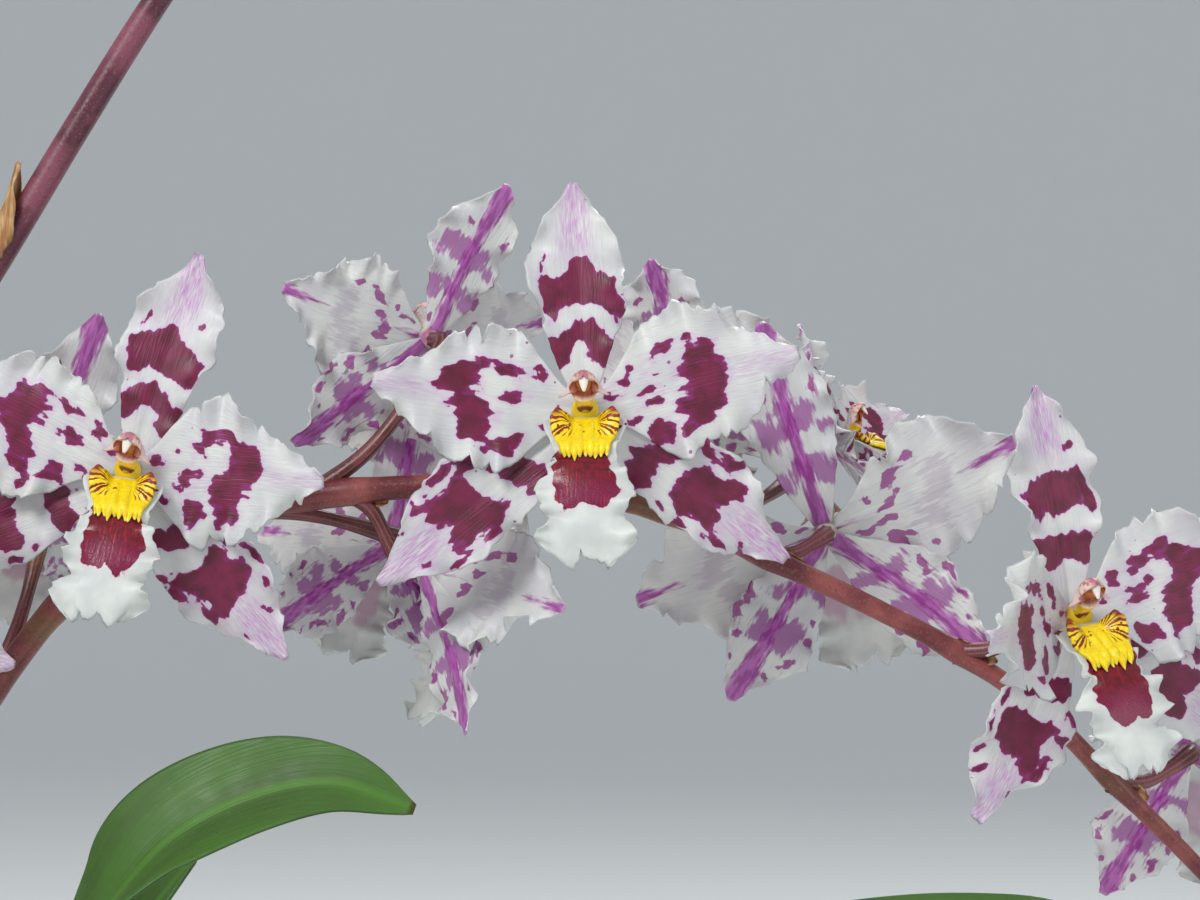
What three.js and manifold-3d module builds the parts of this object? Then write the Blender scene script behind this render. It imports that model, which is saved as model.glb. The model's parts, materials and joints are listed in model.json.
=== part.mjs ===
// A potted oncidium orchid with two flower spikes, in millimetres, +Z up.
// The origin is the middle of the pot's underside; the main spike arches towards +X, and -Y is the front.
import * as THREE from "three";
import { mergeVertices } from "three/addons/utils/BufferGeometryUtils.js";
import Module from "manifold-3d";

const wasm = await Module();
wasm.setup();

// Driving dimensions
const clearance = 0.35; // left between pieces that touch

const pot = {
  height: 110,
  footRadius: 41,
  shoulderRadius: 54,
  rimRadius: 60,
  rimHeight: 26,
  wall: 5,
  floor: 8,
  sides: 24,
  holeRadius: 5,
  holeSides: 8,
  holeRing: 21,
  holes: 4,
  bevel: 1.5, // at the foot and along the rim
};

const bark = {
  top: 92, chips: 13, chipLength: 22, chipWidth: 12, chipHeight: 9,
  smallest: 0.8, largest: 1.3, // share of the chip sizes above
  tilt: 0.35, // radians either way
  fromWall: 12,
  seed: 11,
};

const bulb = {
  height: 82,
  halfWidth: 23,
  halfDepth: 12.5,
  foot: 84,
  sides: 10,
  shape: [[0, 0.5], [0.08, 0.62], [0.3, 0.95], [0.5, 1], [0.72, 0.82], [0.9, 0.45], [1, 0.2]],
  rings: [0, 0.14, 0.32, 0.52, 0.72, 0.88, 1],
};

const tepalThickness = 0.7;
const pedicel = { radius: 1.25, flare: 0.35, sides: 5, steps: 4, straight: 5 };

// Outlines: [place along the blade, half its width].
const outlines = {
  dorsal: [[0, 1.6], [0.14, 4.2], [0.28, 6.2], [0.5, 9], [0.72, 8.6], [0.87, 5.2], [1, 0.7]],
  petal: [[0, 1.7], [0.12, 5], [0.3, 11.8], [0.47, 13.8], [0.64, 11.6], [0.78, 7], [0.9, 3.6], [1, 1.2]],
  lateral: [[0, 1.6], [0.15, 4], [0.35, 7.6], [0.55, 9.2], [0.72, 7.6], [0.86, 3.8], [1, 0.7]],
  lip: [[0, 1.8], [0.14, 4.8], [0.3, 6.2], [0.44, 6], [0.6, 9.2], [0.78, 10.2], [0.92, 8.8], [1, 6]],
};

// Each organ: turn and lean in degrees, lengths in millimetres; seen from the front, turn runs clockwise
// from the top.
const organs = {
  dorsal: {
    outline: outlines.dorsal, turn: 0, lean: -8, length: 42, bow: 8,
    cup: 0.08, ruffle: 0.8, waves: 2, back: 1.7, grid: [2, 4],
  },
  petalRight: {
    outline: outlines.petal, turn: 80, lean: 6, length: 40, bow: -6,
    cup: -0.02, ruffle: 1.7, waves: 2.5, back: 0, grid: [4, 5],
  },
  petalLeft: {
    outline: outlines.petal, turn: -79, lean: 6, length: 40, bow: -6,
    cup: -0.02, ruffle: 1.7, waves: 2.5, back: 0, grid: [4, 5],
  },
  lateralRight: {
    outline: outlines.lateral, turn: 129, lean: -9, length: 48, bow: 6,
    cup: 0.08, ruffle: 0.8, waves: 2, back: 1.7, grid: [2, 4],
  },
  lateralLeft: {
    outline: outlines.lateral, turn: -129, lean: -9, length: 49, bow: 6,
    cup: 0.08, ruffle: 0.8, waves: 2, back: 1.7, grid: [2, 4],
  },
  lip: {
    outline: outlines.lip, turn: 180, lean: 24, length: 33, bow: 36,
    cup: -0.06, ruffle: 1.2, waves: 2, back: -1.9, grid: [2, 4], notch: 0.07,
  },
};

// Where the crest lies on the lip, and how high its two wings stand.
const crest = {
  lift: 0.3, // the lip's facets stand a little proud of its curve
  rows: [[0.13, 0.4, 0.4], [0.27, 0.9, 1], [0.42, 0.75, 0.7]], // place along the lip, share of its width, height
  wings: [0.3, 1, 0.4, 1, 0.3], // heights across
  height: 2.4,
  thin: 0.8,
};

// Columns: [distance out, half width, half height] of its rings.
const columnRings = [[0, 1.9, 1.9], [6.8, 3.9, 3], [9.8, 3, 2.8], [11.6, 1.2, 1.2]];
const columnTilt = 30;

// Hub behind each bloom: [distance forward, radius] of its rings; the last is where the stalk ends.
const hubRings = [[2.4, 2.6], [-3.6, 2.1]];
const hubStart = 1.5; // how far from the middle each organ starts

const mainSpike = {
  route: [
    [10, -2, 80], [8, -2, 130], [8, -1, 170], [14, 0, 210], [24, 0, 238], [38, 0, 264], [55, 0, 287.5],
    [66.5, 0, 302], [79, 0, 312], [95, 0, 319], [115, 0, 323], [138, 0, 325], [163, 0, 324.5],
    [184, 0, 320], [205, 0, 310.5], [225, 0, 301], [240, 0, 293], [256, 0, 282], [269, 0, 269],
    [287, 0, 251], [300, -1, 236], [312, -3, 219], [322, -4, 203], [330, -4, 190],
  ],
  radii: [[0, 3.4], [0.35, 2.7], [0.6, 2.25], [0.85, 1.65], [1, 0.9]],
  steps: 32,
  sides: 6,
};

const secondSpike = {
  route: [
    [-12, 8, 80], [-16, 9, 120], [-16, 8, 160], [-12, 7, 205], [-3, 6, 250], [12, 6, 294], [32, 6, 334],
    [54, 6, 369.5], [69, 6, 394.5], [85, 6, 420], [106, 6, 450], [132, 6, 480], [162, 6, 503],
    [194, 4, 516], [226, 2, 518], [254, 0, 510], [274, 0, 498],
  ],
  radii: [[0, 3.6], [0.4, 2.9], [0.6, 2.65], [0.85, 1.8], [1, 0.9]],
  steps: 24,
  sides: 6,
};

// Blooms: centre, the way it faces, the way its top sepal points, the stem's X where its stalk leaves, and what
// its own organs do differently: [turn and lean added to the plain ones, share of the plain length].
const blooms = [
  {
    name: "bloom_01", centre: [28, -30, 299], facing: [-0.3, -0.95, 0.1], up: [-0.5, 0, 0.87],
    from: 37, size: 1,
    own: { lateralRight: [0, -10, 0.7] },
  },
  {
    name: "bloom_02", centre: [60, 26, 321], facing: [-0.2, 0.95, 0.1], up: [0.24, 0, 1],
    from: 52, size: 0.95,
    own: { lateralLeft: [0, 50, 0.7], petalLeft: [0, 30, 0.9] },
  },
  {
    name: "bloom_03", centre: [82.3, -24, 328.2], facing: [-0.1, -1, 0], up: [0.3, 0, 1],
    from: 68, size: 1,
    own: { lip: [-9, 0, 1], lateralRight: [-4, 0, 0.92], petalRight: [-2, 0, 0.93] },
  },
  {
    name: "bloom_04", centre: [137, 14, 354], facing: [-0.4, 0.9, 0.15], up: [0.48, 0, 0.88],
    from: 114, size: 0.9,
    own: {
      dorsal: [0, 8, 0.88], petalRight: [20, 0, 0.85], petalLeft: [20, 15, 0.8], lateralRight: [22, 5, 0.8],
      lateralLeft: [0, 32, 0.7],
    },
  },
  {
    name: "bloom_05", centre: [129, 24, 313], facing: [-0.35, 0.9, -0.15], up: [0.3, 0, 0.95],
    from: 100, size: 0.9,
    own: {
      dorsal: [0, 22, 0.95], petalRight: [10, 45, 0.8], petalLeft: [0, 34, 0.8], lateralRight: [12, 5, 0.7],
      lateralLeft: [0, 40, 0.7], lip: [0, 0, 0.85],
    },
  },
  {
    name: "bloom_06", centre: [138, 6, 308], facing: [0.75, 0.45, -0.45], up: [0.4, 0, 0.9],
    from: 122, size: 0.9,
    own: {
      dorsal: [0, 36, 0.8], petalLeft: [0, 12, 1], lateralLeft: [0, 24, 0.9], petalRight: [0, 48, 0.9],
      lateralRight: [-22, 56, 0.8],
    },
  },
  { name: "bloom_07", centre: [168.2, -26, 339.5], facing: [0, -1, 0], up: [-0.05, 0, 1], from: 152, size: 1 },
  {
    name: "bloom_08", centre: [187, 24, 344], facing: [0.2, 0.95, 0.2], up: [-0.17, 0, 1],
    from: 172, size: 0.9,
    own: {
      dorsal: [0, 0, 0.7], petalRight: [-38, 20, 0.85], petalLeft: [0, 50, 0.8],
      lateralRight: [0, 20, 0.8], lateralLeft: [0, 45, 0.7],
    },
  },
  {
    name: "bloom_09", centre: [215.6, 18, 315.6], facing: [0.1, 1, 0.05], up: [-0.28, 0, 0.96],
    from: 203, size: 1,
    own: { petalRight: [12, 0, 1], lateralRight: [6, 0, 0.78], lateralLeft: [-11, 0, 0.8] },
  },
  {
    name: "bloom_10", centre: [220, 40, 333], facing: [0.8, -0.25, 0.5], up: [-0.45, 0.2, 0.87],
    from: 184, size: 0.8,
    own: {
      dorsal: [0, 22, 0.75], petalLeft: [25, 10, 0.8], petalRight: [0, 20, 0.7], lateralLeft: [0, 30, 0.6],
    },
  },
  {
    name: "bloom_11", centre: [261.2, -18, 300.7], facing: [0.4, -0.9, 0], up: [-0.2, 0, 1],
    from: 240, size: 1,
    own: { lateralLeft: [-16, 0, 0.86], petalLeft: [-8, 32, 0.92] },
  },
  {
    name: "bloom_12", centre: [287.3, 20, 272.2], facing: [0.1, 1, 0], up: [-0.3, 0, 0.95],
    from: 270, size: 0.95,
    own: { petalRight: [0, 50, 0.75], lateralRight: [4, 0, 0.7] },
  },
];

const upperBlooms = [
  { name: "bloom_13", centre: [152, -20, 512], facing: [0, -0.95, 0.1], up: [0, 0, 1], from: 134, size: 1 },
  { name: "bloom_14", centre: [196, 26, 520], facing: [0.1, 1, 0], up: [0.1, 0, 1], from: 180, size: 0.95 },
];

// Buds: [place along the spike, side it hangs to, length]. Their rings are [lengths out, radius], drawn for a bud
// 13 long; the first two belong to the stalk, which keeps its radius.
const mainBuds = [[0.87, -1, 17], [0.91, 1, 15], [0.945, -1, 13], [0.975, 1, 11], [1, -1, 9]];
const upperBuds = [[0.84, -1, 17], [0.9, 1, 15], [0.95, -1, 12], [1, 1, 9]];
const budShape = {
  rings: [[0, 0.8], [0.5, 1], [0.72, 2.9], [0.98, 3.2], [1.22, 2], [1.38, 0.5]],
  drawnLength: 13,
  stalkEnd: 0.5,
  forward: 0.75, // how far it follows the spike, against how far it leans to its side
  sideways: 0.55,
};

// Sheathing bracts on the bare part of each stem: their places and length as shares of it, and their rings as
// [share of the bract, how far it stands out].
const stemBracts = {
  main: [0.08, 0.17],
  second: [0.07, 0.2, 0.33],
  length: 0.022,
  rings: [[0, 0.2], [0.25, 1], [1, 0.25]],
};

// The dry bract on the second spike: the stem's X at its foot, the share of the stem it covers, how far round
// it reaches to each side, in radians, and how far its tip stands away.
const dryBract = {
  footX: 54,
  share: 0.03,
  halfTurn: [[0, 1.9], [0.3, 1.7], [0.7, 0.9], [1, 0.25]],
  off: 0.45,
  flare: 2.9,
  thickness: 0.6,
};

// Pseudobulbs: where each stands, its turn about Z in degrees and its size.
const bulbs = [
  { name: "pseudobulb_1", at: [-7, -22], turn: 8, size: 1 },
  { name: "pseudobulb_2", at: [29, 9], turn: -35, size: 0.92 },
  { name: "pseudobulb_3", at: [-32, 1], turn: 75, size: 0.85 },
  { name: "pseudobulb_4", at: [-2, 33], turn: 12, size: 0.8 },
];

// Every leaf: half its width and the angle its halves fold up by, at places along it. Its foot stands on a bulb.
const leafShape = {
  outline: [[0, 0.16], [0.12, 0.4], [0.4, 0.9], [0.65, 1], [0.85, 0.74], [0.95, 0.36], [1, 0.08]],
  fold: [[0, 1.1], [0.15, 0.75], [0.5, 0.32], [1, 0.3]],
  turnFrom: 0.45, // its upper face turns over between these places
  turnTo: 0.85,
  apart: 3.4, // from the middle of the bulb's top
  upright: 9,
  thickness: 1,
};

// Leaves: the bulb and the side of its top that each grows from, half the width, the rest of the midrib's
// route, and where the upper face looks at the foot and at the arch.
const leaves = [
  {
    name: "leaf_1", bulb: 1, side: -1, halfWidth: 14, faces: [[-0.85, 0.15, 0.5], [-0.35, -0.8, 0.5]],
    route: [
      [38, -8, 194], [60, -26, 222], [80, -34, 247], [92, -34, 260], [108, -34, 268], [122, -34, 270],
      [136.5, -34, 265],
    ],
  },
  {
    name: "leaf_2", bulb: 3, side: 1, halfWidth: 13, faces: [[-0.5, -0.6, 0.6], [-0.6, -0.5, 0.6]],
    route: [[22, 30, 182], [50, 23, 211], [78, 14, 236], [92.5, 10, 253]],
  },
  {
    name: "leaf_3", bulb: 1, side: 1, halfWidth: 15, faces: [[-0.5, -0.2, 0.85], [-0.1, -0.35, 0.93]],
    route: [
      [52, -20, 184], [84, -44, 204], [140, -53, 224], [200, -53, 238], [240, -50, 245],
      [256, -49, 245.5], [270, -47, 240],
    ],
  },
  {
    name: "leaf_4", bulb: 0, side: -1, halfWidth: 16, faces: [[0.9, -0.3, 0.4], [0.4, -0.3, 0.85]],
    route: [[-34, -25, 212], [-70, -30, 252], [-112, -38, 266], [-150, -44, 244]],
  },
  {
    name: "leaf_5", bulb: 2, side: -1, halfWidth: 15, faces: [[0.9, 0.1, 0.4], [0.4, 0.4, 0.8]],
    route: [[-52, 6, 208], [-80, 18, 262], [-112, 32, 290], [-142, 44, 284]],
  },
  {
    name: "leaf_6", bulb: 3, side: -1, halfWidth: 15, faces: [[0.2, -0.9, 0.4], [0.2, -0.6, 0.75]],
    route: [[2, 58, 188], [26, 86, 214], [60, 114, 216], [92, 134, 196]],
  },
  {
    name: "leaf_7", bulb: 2, side: 1, halfWidth: 14, faces: [[0.6, -0.6, 0.4], [0.3, -0.5, 0.8]],
    route: [[-42, 40, 214], [-60, 74, 262], [-84, 104, 280], [-112, 128, 266]],
  },
  {
    name: "leaf_8", bulb: 0, side: 1, halfWidth: 14, faces: [[0.3, 0.8, 0.4], [0.3, 0.6, 0.7]],
    route: [[-2, -44, 196], [-16, -74, 226], [-38, -106, 230], [-60, -132, 208]],
  },
];

// Helpers
function seededDraw(seed) {
  let state = seed * 7919 + 12345;
  return () => {
    state = (state * 16807) % 2147483647;
    return state / 2147483647;
  };
}

const radians = THREE.MathUtils.degToRad;

function vector(numbers) {
  return new THREE.Vector3(...numbers);
}

// The direction an angle away from one axis towards another.
function between(from, towards, angle) {
  return from.clone().multiplyScalar(Math.cos(angle)).addScaledVector(towards, Math.sin(angle));
}

function solidOf(positions, index) {
  const mesh = new wasm.Mesh({
    numProp: 3,
    vertProperties: new Float32Array(positions),
    triVerts: new Uint32Array(index),
  });
  return new wasm.Manifold(mesh);
}

function geometryOf(solid) {
  const mesh = solid.getMesh();
  const positions = new Float32Array(mesh.numVert * 3);
  for (let i = 0; i < mesh.numVert; i++) {
    const start = i * mesh.numProp;
    positions.set(mesh.vertProperties.subarray(start, start + 3), i * 3);
  }
  return new THREE.BufferGeometry()
    .setAttribute("position", new THREE.BufferAttribute(positions, 3))
    .setIndex(new THREE.BufferAttribute(mesh.triVerts, 1));
}

function solidOfGeometry(geometry) {
  const bare = geometry.clone();
  bare.deleteAttribute("normal");
  bare.deleteAttribute("uv");
  const merged = mergeVertices(bare, 1e-3);
  return solidOf(merged.attributes.position.array, merged.index.array);
}

function latheSolid(points) {
  const outline = points.map(([radius, z]) => new THREE.Vector2(radius, z));
  return solidOfGeometry(new THREE.LatheGeometry(outline, pot.sides).rotateX(Math.PI / 2));
}

// The one body that matters of a join: loose scraps are dropped and sealed hollows filled.
function mainBody(solid) {
  const bodies = solid.simplify(0.03).decompose();
  return bodies.reduce((largest, body) => (body.volume() > largest.volume() ? body : largest));
}

// A smooth value through [place, value] points.
function profile(points, t) {
  let i = 1;
  while (i < points.length - 1 && t > points[i][0]) i++;
  const before = points[Math.max(i - 2, 0)];
  const [t0, v0] = points[i - 1];
  const [t1, v1] = points[i];
  const after = points[Math.min(i + 1, points.length - 1)];
  const span = t1 - t0;
  const k = (t - t0) / span;
  const slope0 = ((v1 - before[1]) / (t1 - before[0])) * span;
  const slope1 = ((after[1] - v0) / (after[0] - t0)) * span;
  const k2 = k * k;
  const k3 = k2 * k;
  return (2 * k3 - 3 * k2 + 1) * v0 + (k3 - 2 * k2 + k) * slope0 + (3 * k2 - 2 * k3) * v1 + (k3 - k2) * slope1;
}

// A closed solid between rings of points that run anticlockwise round the way they advance.
function loft(rings) {
  const sides = rings[0].length;
  const index = [];
  for (let j = 0; j < rings.length - 1; j++) {
    for (let i = 0; i < sides; i++) {
      const a = j * sides + i;
      const b = j * sides + ((i + 1) % sides);
      index.push(a, b, b + sides, a, b + sides, a + sides);
    }
  }
  const last = (rings.length - 1) * sides;
  for (let i = 1; i < sides - 1; i++) {
    index.push(0, i + 1, i);
    index.push(last, last + i, last + i + 1);
  }
  return solidOf(rings.flat().flatMap((p) => p.toArray()), index);
}

function ring(centre, acrossAxis, upAxis, halfWidth, halfHeight, sides) {
  return Array.from({ length: sides }, (_, i) => {
    const angle = (2 * Math.PI * i) / sides;
    return centre
      .clone()
      .addScaledVector(acrossAxis, halfWidth * Math.cos(angle))
      .addScaledVector(upAxis, halfHeight * Math.sin(angle));
  });
}

// A tapering round stem along a curve.
function stem(curve, radiusAt, sides, steps) {
  const frames = curve.computeFrenetFrames(steps, false);
  const rings = [];
  for (let j = 0; j <= steps; j++) {
    const t = j / steps;
    const radius = radiusAt(t);
    rings.push(ring(curve.getPointAt(t), frames.normals[j], frames.binormals[j], radius, radius, sides));
  }
  return loft(rings);
}

// A closed blade: surface(s, t) gives the middle of its thickness, s across from -1 to 1, t along from 0 to 1.
function blade(surface, across, along, thickness) {
  const positions = [];
  const step = 0.01;
  for (const face of [0.5, -0.5]) {
    for (let j = 0; j <= along; j++) {
      for (let i = 0; i <= across; i++) {
        const s = (2 * i) / across - 1;
        const t = j / along;
        const middle = surface(s, t);
        const sideways = surface(s + step, t).sub(surface(s - step, t));
        const forwards = surface(s, Math.min(t + step, 1)).sub(surface(s, Math.max(t - step, 0)));
        const normal = sideways.cross(forwards).normalize();
        positions.push(...middle.addScaledVector(normal, face * thickness).toArray());
      }
    }
  }
  return solidOf(positions, bladeIndex(across, along));
}

function bladeIndex(across, along) {
  const row = across + 1;
  const back = row * (along + 1);
  const index = [];
  for (let j = 0; j < along; j++) {
    for (let i = 0; i < across; i++) {
      const a = j * row + i;
      const b = a + 1;
      const c = b + row;
      const d = a + row;
      index.push(a, b, c, a, c, d);
      index.push(back + a, back + c, back + b, back + a, back + d, back + c);
    }
  }
  const rim = [];
  for (let i = 0; i < across; i++) rim.push(i);
  for (let j = 0; j < along; j++) rim.push(j * row + across);
  for (let i = across; i > 0; i--) rim.push(along * row + i);
  for (let j = along; j > 0; j--) rim.push(j * row);
  rim.forEach((p, k) => {
    const q = rim[(k + 1) % rim.length];
    index.push(back + p, back + q, q, back + p, q, p);
  });
  return index;
}

// The bent midline of a blade: how far along and out it has come at t, and which way it then points.
function spineAt(organ, t) {
  const slices = 24;
  const angleAt = (k) => organ.bow * (1 - 2 * k) + organ.curl * Math.max(0, (k - 0.6) / 0.4) ** 2;
  let along = 0;
  let out = 0;
  for (let i = 0; i < slices; i++) {
    const angle = angleAt((t * (i + 0.5)) / slices);
    along += (Math.cos(angle) * organ.length * t) / slices;
    out += (Math.sin(angle) * organ.length * t) / slices;
  }
  return { along, out, angle: angleAt(t) };
}

// The surface of a sepal, petal or lip in its bloom's frame.
function organSurface(frame, organ) {
  const outward = between(frame.up, frame.right, organ.turn);
  const side = between(frame.right, frame.up, -organ.turn);
  const tip = between(outward, frame.front, organ.lean);
  const face = between(frame.front, outward, -organ.lean);
  const rolledSide = between(side, face, organ.roll);
  const rolledFace = between(face, side, -organ.roll);
  const start = frame.centre.clone();
  start.addScaledVector(outward, hubStart * organ.size);
  start.addScaledVector(frame.front, -organ.back);
  return (s, t) => {
    const margin = Math.abs(s);
    const notched = t * (1 - organ.notch * Math.max(0, 1 - 2 * margin) * t ** 4);
    const { along, out, angle } = spineAt(organ, notched);
    const halfWidth = profile(organ.outline, t) * organ.size;
    const envelope = THREE.MathUtils.smoothstep(t, 0.2, 0.55) * (1 - 0.7 * t ** 6);
    const phase = s > 0 ? organ.phaseRight : organ.phaseLeft;
    const wave = organ.ruffle * envelope * margin ** 3 * Math.cos(2 * Math.PI * organ.waves * t + phase);
    const lift = organ.cup * halfWidth * s * s + wave;
    return start
      .clone()
      .addScaledVector(tip, along - Math.sin(angle) * lift)
      .addScaledVector(rolledFace, out + Math.cos(angle) * lift)
      .addScaledVector(rolledSide, s * halfWidth + organ.sweep * Math.sin(Math.PI * t) ** 2);
  };
}

// A bloom's frame, and its six organs with their small seeded differences.
function bloomParts(bloom, seed) {
  const draw = seededDraw(seed);
  const spread = (amount) => (2 * draw() - 1) * amount;
  const front = vector(bloom.facing).normalize();
  const up = vector(bloom.up);
  up.addScaledVector(front, -up.dot(front)).normalize();
  const right = up.clone().cross(front);
  const frame = { centre: vector(bloom.centre), front, up, right };
  const own = bloom.own ?? {};
  const surfaces = {};
  for (const [name, plain] of Object.entries(organs)) {
    const [turn, lean, longer] = own[name] ?? [0, 0, 1];
    const size = bloom.size * (1 + spread(0.03));
    surfaces[name] = organSurface(frame, {
      ...plain,
      size,
      turn: radians(plain.turn + turn + spread(2)),
      lean: radians(plain.lean + lean + spread(3)),
      bow: radians(plain.bow + spread(4)),
      curl: radians(spread(18)),
      length: plain.length * size * longer,
      roll: radians(spread(4)),
      sweep: spread(0.8),
      notch: plain.notch ?? 0,
      phaseRight: draw() < 0.5 ? 0 : Math.PI,
      phaseLeft: draw() < 0.5 ? 0 : Math.PI,
    });
  }
  return { frame, surfaces };
}

function bloomSolid({ frame, surfaces }, size) {
  const solids = Object.entries(organs).map(([name, plain]) => {
    return blade(surfaces[name], ...plain.grid, tepalThickness);
  });
  const hub = hubRings.map(([forward, radius]) => {
    const centre = frame.centre.clone().addScaledVector(frame.front, forward * size);
    return ring(centre, frame.right, frame.up.clone().negate(), radius * size, radius * size, 5);
  });
  solids.push(loft(hub));
  const tilt = radians(columnTilt);
  const axis = between(frame.front, frame.up, tilt);
  const roof = between(frame.up, frame.front, -tilt);
  const column = columnRings.map(([out, halfWidth, halfHeight]) => {
    const centre = frame.centre.clone().addScaledVector(axis, out * size);
    return ring(centre, frame.right, roof, halfWidth * size, halfHeight * size, 5);
  });
  solids.push(loft(column));
  return mainBody(wasm.Manifold.union(solids));
}

// The yellow crest lies on the lip as two raised wings.
function crestSolid({ surfaces }, size) {
  const across = crest.wings.length - 1;
  const under = [];
  const over = [];
  for (const [t, share, rise] of crest.rows) {
    for (let i = 0; i <= across; i++) {
      const s = ((2 * i) / across - 1) * share;
      const step = 0.02;
      const seat = surfaces.lip(s, t);
      const sideways = surfaces.lip(s + step, t).sub(surfaces.lip(s - step, t));
      const forwards = surfaces.lip(s, t + step).sub(surfaces.lip(s, t - step));
      const normal = sideways.cross(forwards).normalize();
      seat.addScaledVector(normal, tepalThickness / 2 + clearance + crest.lift);
      under.push(...seat.toArray());
      const height = crest.thin + crest.height * size * crest.wings[i] * rise;
      over.push(...seat.addScaledVector(normal, height).toArray());
    }
  }
  return solidOf([...over, ...under], bladeIndex(across, crest.rows.length - 1));
}

// Spikes
function spikeCurve(spike) {
  return new THREE.CatmullRomCurve3(spike.route.map(vector), false, "centripetal");
}

// The place along an arching curve, past its upright foot, where X is as given.
function placeAtX(curve, x) {
  let low = 0.25;
  let high = 1;
  for (let i = 0; i < 24; i++) {
    const middle = (low + high) / 2;
    if (curve.getPointAt(middle).x < x) low = middle;
    else high = middle;
  }
  return low;
}

// The stalk that carries a bloom: it leaves along the spike and comes in straight behind the hub.
function stalk(curve, bloom, frame) {
  const place = placeAtX(curve, bloom.from);
  const root = curve.getPointAt(place);
  const heading = curve.getTangentAt(place);
  const [backOfHub] = hubRings.at(-1);
  const end = frame.centre.clone().addScaledVector(frame.front, backOfHub * bloom.size - clearance);
  const before = end.clone().addScaledVector(frame.front, -pedicel.straight);
  const towards = before.clone().sub(root);
  const leave = root.clone().addScaledVector(heading, towards.length() * 0.12).addScaledVector(towards, 0.3);
  const route = new THREE.CatmullRomCurve3([root, leave, before, end], false, "centripetal");
  const radiusAt = (t) => pedicel.radius * (1 + pedicel.flare * Math.abs(2 * t - 1));
  return stem(route, radiusAt, pedicel.sides, pedicel.steps);
}

// A bud with its short stalk; the stalk's root is inside the stem.
function bud(curve, [place, side, length]) {
  const root = curve.getPointAt(place);
  const heading = curve.getTangentAt(place);
  const sideways = new THREE.Vector3(0, side, 0);
  const out = heading.clone().multiplyScalar(budShape.forward);
  out.addScaledVector(sideways, budShape.sideways).normalize();
  const across = out.clone().cross(heading).normalize();
  const over = out.clone().cross(across);
  return loft(
    budShape.rings.map(([far, radius]) => {
      const wide = far > budShape.stalkEnd ? (radius * length) / budShape.drawnLength : radius;
      const centre = root.clone().addScaledVector(out, far * length);
      return ring(centre, across, over, wide, wide, 6);
    }),
  );
}

function stemBract(curve, spike, place) {
  const across = new THREE.Vector3(0, 1, 0);
  return loft(
    stemBracts.rings.map(([share, bulge]) => {
      const here = place + stemBracts.length * share;
      const over = curve.getTangentAt(here).cross(across).negate();
      const radius = profile(spike.radii, here) + bulge;
      return ring(curve.getPointAt(here), across, over, radius, radius, 6).reverse();
    }),
  );
}

function spikeSolid(spike, spikeBlooms, parts, buds, bracts) {
  const curve = spikeCurve(spike);
  const solids = [stem(curve, (t) => profile(spike.radii, t), spike.sides, spike.steps)];
  spikeBlooms.forEach((bloom) => solids.push(stalk(curve, bloom, parts.get(bloom.name).frame)));
  buds.forEach((one) => solids.push(bud(curve, one)));
  bracts.forEach((place) => solids.push(stemBract(curve, spike, place)));
  return mainBody(wasm.Manifold.union(solids));
}

// The dry bract that still wraps the second spike below its first bend.
function dryBractSolid() {
  const curve = spikeCurve(secondSpike);
  const foot = placeAtX(curve, dryBract.footX);
  const radius = profile(secondSpike.radii, foot) + clearance + dryBract.off;
  const surface = (s, t) => {
    const place = foot + dryBract.share * t;
    const heading = curve.getTangentAt(place);
    const left = new THREE.Vector3(0, -1, 0).cross(heading).normalize();
    const front = heading.clone().cross(left);
    const angle = s * profile(dryBract.halfTurn, t);
    const out = radius + dryBract.flare * t * t;
    return curve
      .getPointAt(place)
      .addScaledVector(left, out * Math.cos(angle))
      .addScaledVector(front, out * Math.sin(angle));
  };
  return blade(surface, 6, 3, dryBract.thickness);
}

// Leaves
function leafCurve(leaf) {
  const grownFrom = bulbs[leaf.bulb];
  const turn = radians(grownFrom.turn);
  const foot = new THREE.Vector3(...grownFrom.at, bulb.foot + bulb.height * grownFrom.size + clearance);
  foot.x += leaf.side * leafShape.apart * Math.cos(turn);
  foot.y += leaf.side * leafShape.apart * Math.sin(turn);
  const above = foot.clone();
  above.z += leafShape.upright;
  return new THREE.CatmullRomCurve3([foot, above, ...leaf.route.map(vector)], false, "centripetal");
}

function leafSolid(leaf) {
  const curve = leafCurve(leaf);
  const surface = (s, t) => {
    const heading = curve.getTangentAt(t);
    const [footFace, archFace] = leaf.faces.map(vector);
    const face = footFace.lerp(archFace, THREE.MathUtils.smoothstep(t, leafShape.turnFrom, leafShape.turnTo));
    face.addScaledVector(heading, -face.dot(heading)).normalize();
    const side = heading.clone().cross(face);
    const half = profile(leafShape.outline, t) * leaf.halfWidth * Math.abs(s);
    const angle = profile(leafShape.fold, t);
    return curve
      .getPointAt(t)
      .addScaledVector(side, Math.sign(s) * half * Math.cos(angle))
      .addScaledVector(face, half * Math.sin(angle));
  };
  return blade(surface, 2, 9, leafShape.thickness);
}

// Pseudobulbs are flattened ovals, widest at half height.
function bulbSolid(one, grow) {
  const turn = radians(one.turn);
  const across = new THREE.Vector3(Math.cos(turn), Math.sin(turn), 0);
  const deep = new THREE.Vector3(-Math.sin(turn), Math.cos(turn), 0);
  const rings = bulb.rings.map((t) => {
    const wide = profile(bulb.shape, t) * one.size;
    const centre = new THREE.Vector3(one.at[0], one.at[1], bulb.foot + bulb.height * one.size * t);
    return ring(centre, across, deep, bulb.halfWidth * wide + grow, bulb.halfDepth * wide + grow, bulb.sides);
  });
  return loft(rings);
}

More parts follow.
